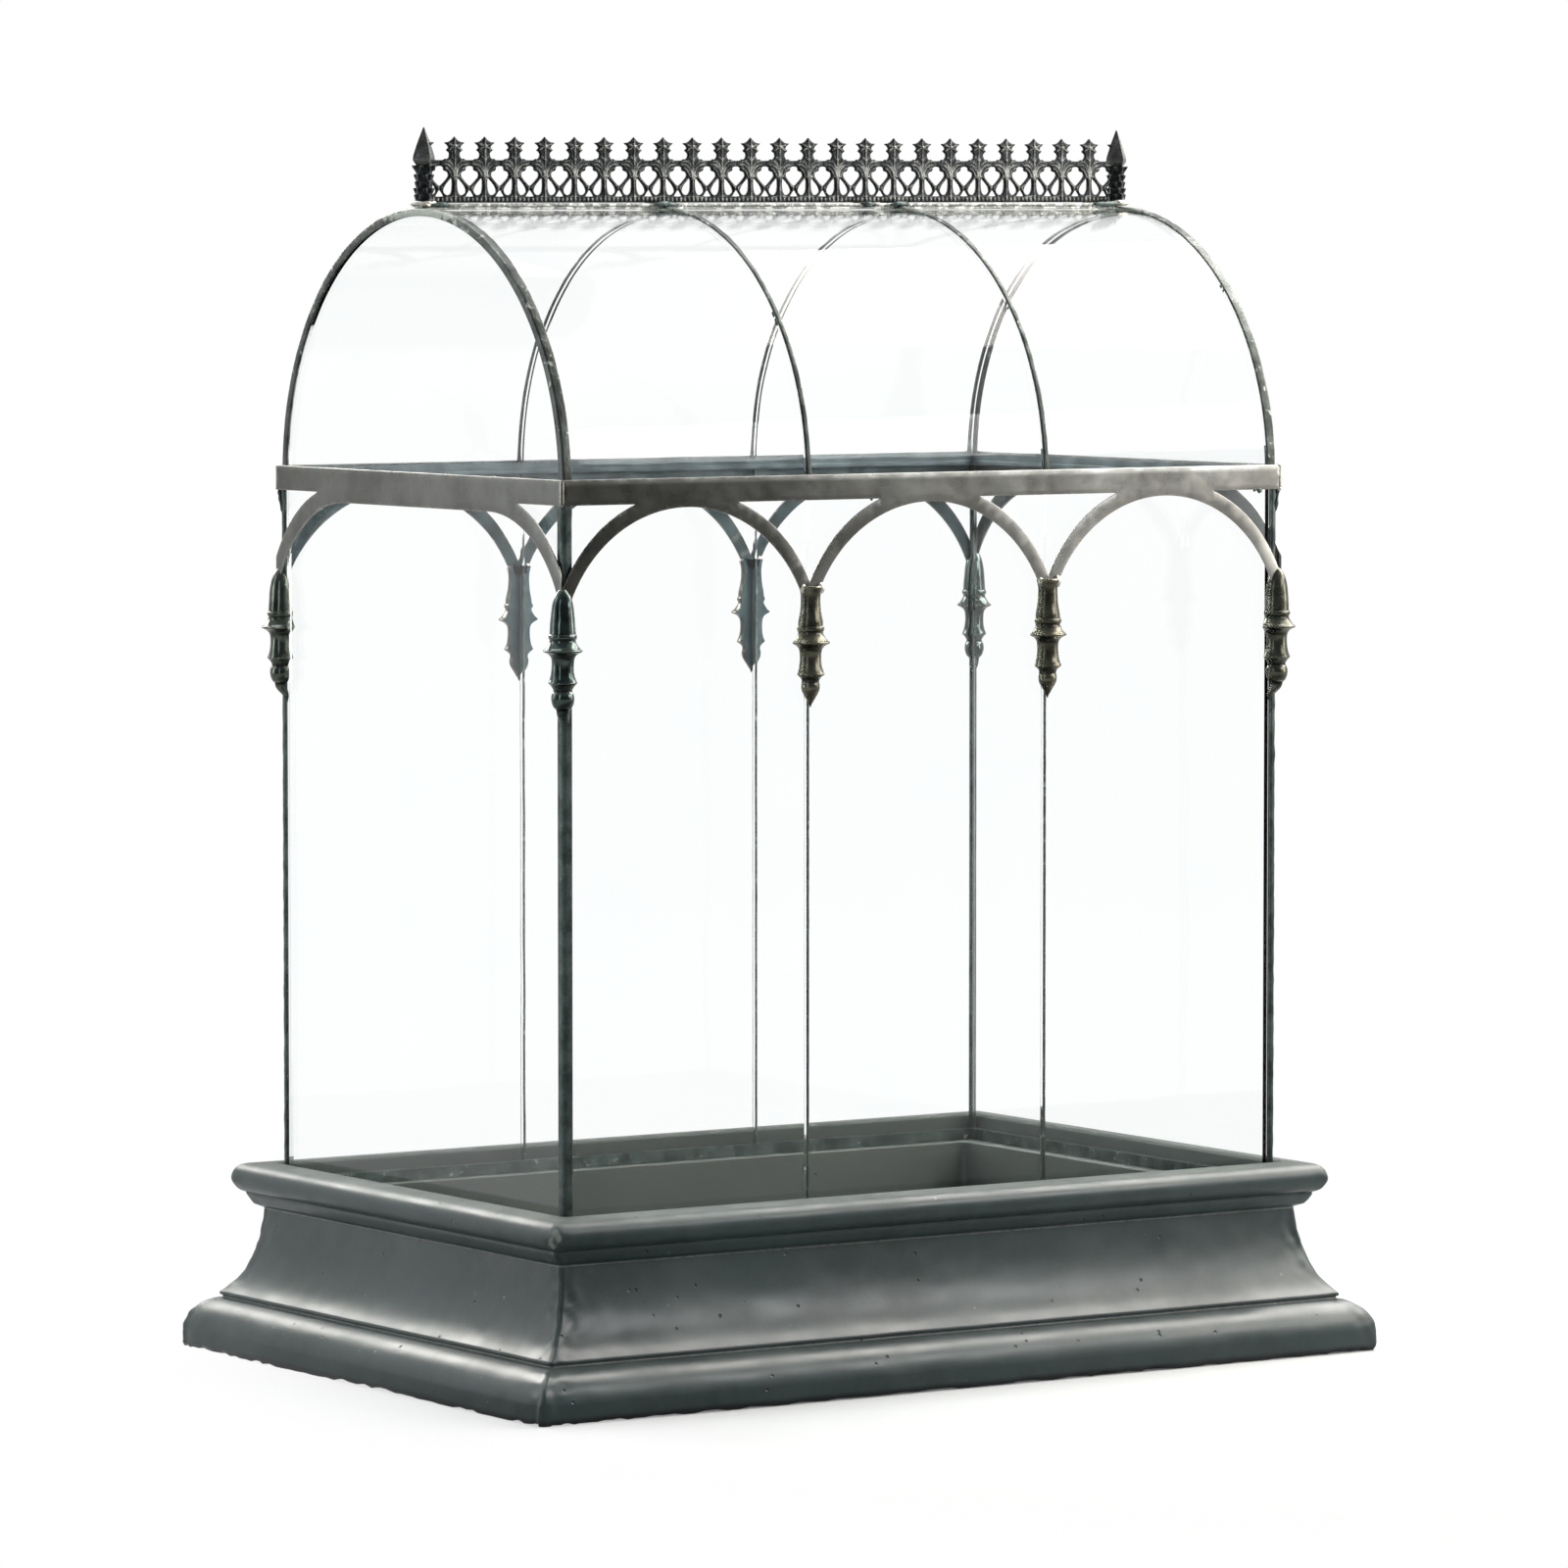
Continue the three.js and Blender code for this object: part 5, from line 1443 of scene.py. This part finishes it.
def mullion_capital(x, side, seed):
    """A capital in front of a mullion, its back flat against the strip."""
    line = capital_profile(mouth_shares, TAILS["mullion"], tip_share=0.855, wide=0.1, slim_ball=True)
    line[:, 0] *= BACK_SCALE if side > 0 else 1.0
    rows = spun(line)
    rounds, hollows = hollows_and_rounds(line)
    rows[..., :2] *= 1 + CAST_WAVE * waves(rows, 12 * MM, seed)[..., None]
    axis = mullion_face + WALL_GAP + MULLION_AXIS_OUT
    local = np.maximum(rows[..., 1], -MULLION_AXIS_OUT)
    flat_back = np.where(local < 0.01 * MM - MULLION_AXIS_OUT, 1.0, 0.0)
    rows[..., 1] = side * (axis + local)
    rows[..., 0] += x
    rows[..., 2] += capital_low
    return skin(rows, ends=False, arris=rounds, hollow=hollows, cool=flat_back, flat=flat_back)


def corner_capital(sign_x, sign_y, cool, seed):
    """A capital round a corner post: what would lie inside the glass is pushed out to the nearer pane, and the
    back is cut across the corner."""
    line = capital_profile(pointed_shares, TAILS["corner"], tip_share=1.0, wide=0.36, slim_ball=False)
    rows = spun(line)
    rounds, hollows = hollows_and_rounds(line)
    rows[..., :2] *= 1 + CAST_WAVE * waves(rows, 12 * MM, seed)[..., None]
    across = (rows[..., 0] + rows[..., 1]) / np.sqrt(2)
    behind = np.maximum(-CORNER_BACK - across, 0) / np.sqrt(2)
    tucked = TAIL_TUCK * ease(-rows[..., 2], 0.5 * MM, 7 * MM)
    plan = rows[..., :2] + (behind - tucked)[..., None] + house + CORNER_AXIS_OUT
    sunk = glass_face + WALL_GAP - plan
    inside = (sunk > 0).all(axis=-1)
    by_x = sunk[..., 0] < sunk[..., 1]
    plan[..., 0] += np.where(inside & by_x, sunk[..., 0], 0)
    plan[..., 1] += np.where(inside & ~by_x, sunk[..., 1], 0)
    rows[..., :2] = plan * (sign_x, sign_y)
    rows[..., 2] += capital_low
    return skin(rows, ends=False, arris=rounds, hollow=hollows, cool=cool)


CAPITAL_COOL = {"back_right": 1.0, "back_left": 0.6, "front_left": 1.0, "front_right": 0.25}
capitals = []
for number, (name, signs) in enumerate(CORNERS.items()):
    surface = corner_capital(*signs, CAPITAL_COOL[name], seed=90 + number)
    name = "capital_" + name
    capitals.append(piece(name + "_casting", [surface], PEWTER, stands_for=[name], sharp=60))
for wall, side in (("front", -1), ("back", 1)):
    for number, x in ((1, -bay_edge), (2, bay_edge)):
        surface = mullion_capital(x, side, seed=95 + number + side)
        name = f"capital_{wall}_{number}"
        capitals.append(piece(name + "_casting", [surface], PEWTER, stands_for=[name], sharp=60))
said("capitals", *capitals)

# %% [markdown]
# ## Cresting
#
# A cast strip runs along the ridge: star heads on uprights, leaves that fan out under a bar, club-shaped holes over
# a lattice, egg-shaped holes beside the stems, and a beaded foot. One upright is drawn as an outline with smooth
# curves, raised into a relief (rounded towards its edges, with veins and rays as ridges), and then repeated. It
# could be flat with a bump, but the ridges are what catches the light from the side.

# %% Cresting outline
crest_low, crest_high = span("cresting")
finial_low, finial_high = span("finial_right")
CREST_UPRIGHTS = 23
CREST_POINTS = 0.62 * MM
CREST_CUT = 0.5 * MM
finial_x = (finial_low[0] + finial_high[0]) / 2
crest_pitch = 2 * finial_x / (CREST_UPRIGHTS + 1)
crest_height = crest_high[2] - crest_low[2]
star_shares = [(0.5, 0.645), (0.37, 0.648), (0.305, 0.668), (0.26, 0.66), (0.205, 0.68), (0.175, 0.715), (0.17, 0.75),
               (0.22, 0.775), (0.265, 0.8), (0.205, 0.83), (0.225, 0.865), (0.325, 0.908), (0.21, 0.918), (0.12, 0.94),
               (0.06, 0.968), (0.0, 1.0)]
club_shares = [(0.5, 0.555), (0.43, 0.552), (0.372, 0.535), (0.365, 0.508), (0.35, 0.489), (0.3, 0.477), (0.235, 0.464),
               (0.208, 0.43), (0.235, 0.388), (0.305, 0.343), (0.385, 0.3), (0.45, 0.27), (0.5, 0.257)]
triangle_shares = [(0.5, 0.2), (0.45, 0.17), (0.39, 0.125), (0.36, 0.098), (0.5, 0.094)]
egg_shares = [(0.09, 0.365), (0.14, 0.362), (0.21, 0.325), (0.29, 0.28), (0.35, 0.232), (0.375, 0.188), (0.35, 0.15),
              (0.28, 0.122), (0.19, 0.12), (0.13, 0.148), (0.095, 0.2), (0.08, 0.28)]


def upright_loops():
    """The outside of one upright from the middle of one opening to the middle of the next, and its two eggs. The
    right half is drawn and mirrored."""
    scale = np.array([crest_pitch, crest_height])
    half = [np.array([(0.0, 0.0), (0.25, 0.0), (0.5, 0.0), (0.5, 0.047)])]
    half.append(np.array(triangle_shares)[::-1])
    half.append(np.array([(0.5, 0.235)]))
    half.append(through(club_shares, 4)[::-1])
    half.append(np.array([(0.5, 0.585), (0.5, 0.615)]))
    half.append(through(star_shares, 3))
    right = np.vstack(half)
    left = (right[1:-1] * (-1, 1))[::-1]
    egg = through(egg_shares, 3, closed=True)
    return [np.vstack([right, left]) * scale, egg * scale, (egg * (-1, 1)) * scale]


VEINS = [
    # (points of a ridge as shares of pitch and height, its height in millimetres)
    ([(0, 0.03), (0, 0.62), (0, 0.97)], 0.3),
    ([(0.03, 0.36), (0.07, 0.47), (0.14, 0.54), (0.25, 0.58), (0.36, 0.58)], 0.3),
    ([(0.03, 0.4), (0.05, 0.52), (0.11, 0.59), (0.19, 0.62)], 0.25),
    ([(0.1, 0.39), (0.17, 0.47), (0.27, 0.52), (0.36, 0.535)], 0.25),
    ([(0.02, 0.65), (0.09, 0.69), (0.15, 0.7)], 0.2),
    ([(0, 0.86), (0.1, 0.83), (0.2, 0.8)], 0.3),
    ([(0, 0.86), (0.14, 0.88), (0.28, 0.905)], 0.3),
    ([(0.06, 0.4), (0.16, 0.375), (0.3, 0.31), (0.42, 0.25), (0.5, 0.225)], 0.3),
    ([(0.5, 0.24), (0.43, 0.205), (0.39, 0.13)], 0.25),
    ([(0, 0.095), (0.25, 0.093), (0.5, 0.083)], 0.2),
    ([(0.2, 0.64), (0.36, 0.63), (0.5, 0.632)], 0.25),
    ([(0.4, 0.58), (0.5, 0.573)], 0.2),
]
VEIN_WIDTH = 0.42 * MM
EDGE_WIDTH, EDGE_RISE = 0.95 * MM, 0.28 * MM
BEADS, BEAD_RISE = 7, 0.3 * MM


def upright_relief(x, z, from_cut):
    """Height of the relief: a quarter round towards the cut edge, plus a bell-shaped ridge along each vein, plus
    upright beads along the foot."""
    share = np.clip(from_cut / EDGE_WIDTH, 0, 1)
    height = EDGE_RISE * np.sqrt(1 - (1 - share) ** 2)
    place = np.stack([np.abs(x), z], axis=-1)
    for points, rise in VEINS:
        line = np.array(points) * (crest_pitch, crest_height)
        gap = distance_to(place, line[:-1], line[1:])
        height += rise * MM * np.exp(-((gap / VEIN_WIDTH) ** 2)) * share
    beads = 0.5 + 0.5 * np.cos(BEADS * TURN * x / crest_pitch)
    return height + BEAD_RISE * beads * (1 - ease(z, 2.2 * MM, 3 * MM)) * ease(z, 0.3 * MM, 0.9 * MM)


# %% Cresting strip
CREST_EDGE = 0.12 * MM
FULL_RISE = 0.62 * MM
RELIEF_MARK = 0.85
CREST_END = 4 * MM


def cresting_parts():
    """The upright's net repeated along the ridge, without the faces where two uprights join. It runs on past both
    finials and is cut off there."""
    points, faces, side, from_cut = cut_sheet(upright_loops(), CREST_POINTS, CREST_EDGE, 2 * CREST_CUT)
    on_joint = np.abs(np.abs(points[:, 0]) - crest_pitch / 2) < 0.2 * MM
    points[on_joint, 0] = np.sign(points[on_joint, 0]) * crest_pitch / 2
    rise = upright_relief(points[:, 0], points[:, 2], from_cut) * (side != 0)
    points[:, 1] -= CREST_CUT
    points[:, 1] += side * rise
    raised = np.clip(rise / FULL_RISE, 0, 1)
    at_joint = lambda face: np.ptp(points[face, 0]) <= 1e-7 and np.abs(points[face[0], 0]) >= crest_pitch * 0.499
    keep = [face for face in faces if not at_joint(face)]
    parts = []
    for number in range(-(CREST_UPRIGHTS + 1) // 2, (CREST_UPRIGHTS + 1) // 2 + 1):
        moved = points + (number * crest_pitch, 0, crest_low[2])
        parts.append((moved, keep, {"arris": RELIEF_MARK * raised}))
    return parts


def trimmed(made, limit):
    """Cuts the object's mesh off beyond a distance from the middle, on both sides, and closes the cuts."""
    shell = bmesh.new()
    shell.from_mesh(made.data)
    for sign in (-1, 1):
        geometry = shell.verts[:] + shell.edges[:] + shell.faces[:]
        plane = {"plane_co": (sign * limit, 0, 0), "plane_no": (sign, 0, 0)}
        cut = bmesh.ops.bisect_plane(shell, geom=geometry, clear_outer=True, **plane)
        edges = [item for item in cut["geom_cut"] if isinstance(item, bmesh.types.BMEdge)]
        bmesh.ops.holes_fill(shell, edges=edges)
    shell.to_mesh(made.data)
    shell.free()


uprights = cresting_parts()
cresting = piece("cresting_casting", uprights, BLACKENED, stands_for=["cresting"], sharp=50)
trimmed(cresting, finial_x - CREST_END)
said("cresting", cresting)

# %% [markdown]
# ## Finials
#
# At each end of the cresting stands a spear: a stem with rows of small pointed leaves, the topmost a collar, and a
# four-sided head with sharp arrises. It is one grid of heights and angles. On the stem the radius swings between leaf
# tips and gaps, and on the head it follows a square, blended from one to the other.

# %% Finials
FINIAL_STEM = 4.5 * MM
FINIAL_STEPS, FINIAL_TURN_STEPS = 150, 96
stem_shares = [(1.15, 0), (1.2, 0.02), (1.05, 0.045), (0.98, 0.1), (0.95, 0.2), (0.93, 0.3), (0.96, 0.4), (1.0, 0.48)]
head_shares = [(0.98, 0.5), (1.28, 0.53), (1.45, 0.56), (1.48, 0.585), (1.4, 0.63), (1.21, 0.69), (0.94, 0.77),
               (0.61, 0.86), (0.31, 0.935), (0.12, 0.985), (0.02, 1.0)]
# height of each row's tips and how far they reach, as shares of the finial's height and of the stem's radius
LEAF_ROWS = [(0.1, 0.2), (0.18, 0.28), (0.27, 0.2), (0.36, 0.26), (0.475, 0.45)]
LEAVES_ROUND = 8
LEAF_LENGTH, LEAF_END = 0.085, 0.02
LEAF_LIFT = 1.6 * MM
FINIAL_WAVE = 0.06 * MM
ARRIS_ANGLE = 0.07
finial_height = finial_high[2] - finial_low[2]


def finial_surface(x, seed):
    """Radius = profile, plus rows of pointed leaves on the stem that swell up to their tips, and on the head times
    the square's 1 / (|cos| + |sin|)."""
    outline = through(stem_shares + head_shares, 6)
    share = np.linspace(0, 1, FINIAL_STEPS)[:, None]
    radius = np.interp(share, outline[:, 1], outline[:, 0]) * FINIAL_STEM
    angle = np.arange(FINIAL_TURN_STEPS) * TURN / FINIAL_TURN_STEPS
    square = 1 / (np.abs(np.cos(angle)) + np.abs(np.sin(angle)))
    on_head = ease(share, 0.49, 0.53)
    leaves = 0 * share * angle
    for number, (tip, reach) in enumerate(LEAF_ROWS):
        swell = ease(share, tip - LEAF_LENGTH, tip) * (1 - ease(share, tip, tip + LEAF_END))
        pointed = (0.5 + 0.5 * np.cos(LEAVES_ROUND * angle + number * TURN / 2)) ** 1.5
        leaves = np.maximum(leaves, reach * swell * pointed)
    ring = (radius + FINIAL_STEM * leaves) * (1 - on_head + on_head * square)
    height = finial_low[2] + share * finial_height
    rows = np.stack([x + ring * np.cos(angle), ring * np.sin(angle), np.broadcast_to(height, ring.shape)], axis=-1)
    rows[..., 2] += LEAF_LIFT * leaves
    rows[-1, :, :2] = (x, 0)
    rows[..., :2] += FINIAL_WAVE * waves(rows, 5 * MM, seed)[..., None] * (share < 0.98)[..., None]
    from_arris = np.abs((angle + TURN / 8) % (TURN / 4) - TURN / 8)
    arris = np.exp(-((from_arris / ARRIS_ANGLE) ** 2)) * on_head
    return skin(rows, arris=np.clip(arris + 1.6 * leaves, 0, 1), pale=on_head + 0 * angle)


finials = []
for name, sign in (("left", -1), ("right", 1)):
    surface = finial_surface(sign * finial_x, seed=110 + sign)
    name = "finial_" + name
    finials.append(piece(name + "_spear", [surface], BLACKENED, stands_for=[name], sharp=55))
said("finials", *finials)

# %% [markdown]
# ## Solder
#
# Solder holds the case together and shows at every joint: a pair of thin bright lines up each corner of the band and
# a fillet from there to the post, lobes in the capitals' mouths, lumps and bright spots at the feet of the ribs, dark
# patches under the cresting, a few drips below the band and a ring under each finial. Each is a small lumpy shape: a
# bead is a tube whose radius wanders, a lump is a ball pressed flat and pushed about by noise.


# %% Beads and lumps
def bead(path, radius, seed, steps=10):
    """A tube round a path of points, with rounded ends. Its radius, one for all points or one for each, swells and
    shrinks with noise."""
    path = np.asarray(path, float)
    along = np.gradient(path, axis=0)
    along /= np.linalg.norm(along, axis=1, keepdims=True)
    helper = np.where(np.abs(along[:, 2:]) > 0.8, [[1.0, 0, 0]], [[0, 0, 1.0]])
    side = np.cross(along, helper)
    side /= np.linalg.norm(side, axis=1, keepdims=True)
    out = np.cross(side, along)
    share = np.linspace(-1, 1, len(path))
    taper = np.sqrt(np.clip(1 - np.abs(share) ** 6, 0.0, 1))
    widest = np.max(radius)
    swell = 1 + 0.3 * waves(path, 6 * widest, seed) + 0.15 * waves(path, 2.5 * widest, seed + 1)
    size = radius * taper * np.clip(swell, 0.5, 1.6)
    angle = np.arange(steps) * TURN / steps
    ring = np.stack([np.cos(angle), np.sin(angle)], axis=-1)
    return skin(carried(ring[None] * size[:, None, None], path, side, out), ends=False)


def lump(centre, size, seed, steps=20):
    """A ball stretched to size = (x, y, z) and pushed in and out by up to a quarter by noise."""
    up = np.linspace(-TURN / 4, TURN / 4, steps // 2 + 1)[:, None]
    angle = np.arange(steps) * TURN / steps
    ball = np.stack([np.cos(up) * np.cos(angle), np.cos(up) * np.sin(angle), np.sin(up) + 0 * angle], axis=-1)
    push = 1 + 0.14 * waves(ball, 1.5, seed) + 0.07 * waves(ball, 0.6, seed + 1)
    return skin(np.array(centre) + ball * push[..., None] * np.array(size), ends=False)


# %% Corner seams and fillets
SEAM_SIZES = {"front_right": 1.7}
SEAM_ASIDE, SEAM_RADIUS, SEAM_STEPS = 0.95 * MM, 0.3 * MM, 30
NO_FILLET = "front_left"
FILLET_STEPS = 24
arcade_out = np.array([arcade_half["long"], -arcade_low[1]])
seams, fillets = [], []
for number, (name, (sx, sy)) in enumerate(CORNERS.items()):
    sign = np.array([sx, sy])
    big = SEAM_SIZES.get(name, 1.0)
    for k in (0, 1):
        offset = np.zeros(2)
        offset[k] = -SEAM_ASIDE
        plan = (arcade_out + offset - 0.02 * MM) * sign
        low = (*plan, band_low + 0.4 * MM)
        high = (*plan, band_top - 0.4 * MM)
        line = np.linspace(low, high, SEAM_STEPS)
        seams.append(bead(line, SEAM_RADIUS * big, seed=120 + 4 * number + k))
    knob = (arcade_out - 1.1 * MM) * sign
    seams.append(lump((*knob, band_low + 0.4 * MM), np.array([0.8, 0.8, 0.9]) * MM * big, seed=140 + number))
    seams.append(lump((*knob, band_top - 0.6 * MM), np.array([1.0, 1.0, 0.7]) * MM * big, seed=150 + number))
    if name != NO_FILLET:
        start_at = (*((arcade_out - 1.3 * MM) * sign), band_low)
        pulled_to = (*((house + 0.7 * MM) * sign), band_low - 4 * MM)
        end_at = (*((house + 0.1 * MM) * sign), band_low - 12 * MM)
        fillet = bend(start_at, pulled_to, end_at, FILLET_STEPS)
        radius = np.linspace(1.2, 0.5, FILLET_STEPS + 1) * MM * np.sqrt(big)
        fillets.append(bead(fillet, radius, seed=144 + number))
fillet_solder = piece("band_fillet_solder", fillets, SKIN, sharp=80)
seam_solder = piece("corner_seam_solder", seams, SOLDER, sharp=80)

# %% Mouth lobes
LOBE_ASIDE, LOBE_IN, LOBE_HEIGHT = 5.2 * MM, 0.2 * MM, 0.925
LOBE_SIZES = {-1: 0.85, 1: 1.15}
lobe_height = capital_low + LOBE_HEIGHT * CAPITAL_HEIGHT
lobes = []
for side in (-1, 1):
    for x in (-bay_edge, bay_edge):
        for aside, big in LOBE_SIZES.items():
            centre = (x + aside * LOBE_ASIDE, side * (arcade_out[1] - LOBE_IN), lobe_height)
            lobes.append(lump(centre, np.array([1.9, 1.6, 2.6]) * MM * big, seed=160 + len(lobes)))
lobe_solder = piece("capital_lobe_solder", lobes, SOLDER, sharp=80)
said("solder at the sheets", seam_solder, fillet_solder, lobe_solder)

# %% Rib feet
END_LUMP, MIDDLE_LUMP = 3.3, 2.1  # half widths in millimetres
feet, spots = [], []
bar_top = span("shoulder_bar_front")[1][2]
rib_places = (-house[0] + END_WIDTH / 2, -bay_edge, bay_edge, house[0] - END_WIDTH / 2)
for x in rib_places:
    is_middle = abs(x) <= bay_edge
    wide = MIDDLE_LUMP if is_middle else END_LUMP
    for side in (-1, 1):
        centre = (x, side * (crown_radius - 0.4 * MM), bar_top + 0.3 * MM)
        feet.append(lump(centre, np.array([wide, 1.2, 1.2]) * MM, seed=180 + len(feet)))
        if is_middle:
            beside = centre + np.array([1.5, side * 0.5, 0.8]) * MM
            spots.append(lump(beside, np.array([0.9, 0.7, 1.1]) * MM, seed=200 + len(spots)))
foot_solder = piece("rib_foot_solder", feet, SKIN, sharp=80)
spot_solder = piece("rib_spot_solder", spots, SOLDER, sharp=80)

# %% Ridge joints and drips
# where each patch is along the ridge, and half its length in millimetres
RIDGE_PATCHES = [(-bay_edge, 7.5), (54 * MM, 4.5), (bay_edge, 6.5), (finial_x - 10 * MM, 9), (-finial_x + 7 * MM, 7)]
joints = []
under_crest = ridge_high[2] - 0.7 * MM
for x, wide in RIDGE_PATCHES:
    for side in (-1, 1):
        centre = (x, side * ridge_high[1], under_crest)
        joints.append(lump(centre, np.array([wide, 1.2, 1.5]) * MM, seed=220 + len(joints)))
joint_solder = piece("ridge_joint_solder", joints, SKIN, sharp=80)

# where each drip hangs below the front's band, and its size
BAND_DRIPS = [(211 * MM, 1.4), (208 * MM, 0.8), (126 * MM, 0.8), (-37 * MM, 0.7)]
drips = []
for x, size in BAND_DRIPS:
    centre = (x, -arcade_out[1] + 0.8 * MM, band_low - 0.3 * size * MM)
    drips.append(lump(centre, np.array([1.2, 0.7, 1.1]) * MM * size, seed=260 + len(drips)))
drip_solder = piece("band_drip_solder", drips, SKIN, sharp=80)

# %% Rings under the finials
RING_REACH, RING_RADIUS = 5.4 * MM, 1.1 * MM
rings = []
turned = np.linspace(0, TURN, 40)
across, level = RING_REACH * np.cos(turned), np.full_like(turned, finial_low[2])
for sign in (-1, 1):
    ring = np.stack([sign * finial_x + across, RING_REACH * np.sin(turned), level], axis=-1)
    rings.append(bead(ring, RING_RADIUS, seed=240 + sign))
    for side in (-1, 1):
        centre = (sign * (finial_x + 1.5 * MM), side * 4.6 * MM, finial_low[2] - 0.6 * MM)
        rings.append(lump(centre, np.array([3.6, 1.6, 1.5]) * MM, seed=250 + len(rings)))
# The ring and lumps use the bright solder mix, partly as a painted highlight beside the crowns of the end ribs.
finial_solder = piece("finial_foot_solder", rings, SOLDER, sharp=80)
said("solder at the roof", foot_solder, spot_solder, joint_solder, drip_solder, finial_solder)

# %% [markdown]
# ## Sizes and finish
#
# The box that the dressed case fills, without the floor, is printed. The dressed case
# has to stay inside the box of its solids.

# %% Sizes and finish
low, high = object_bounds()
print("visual box", [round(v, 4) for v in (*low, *high)])
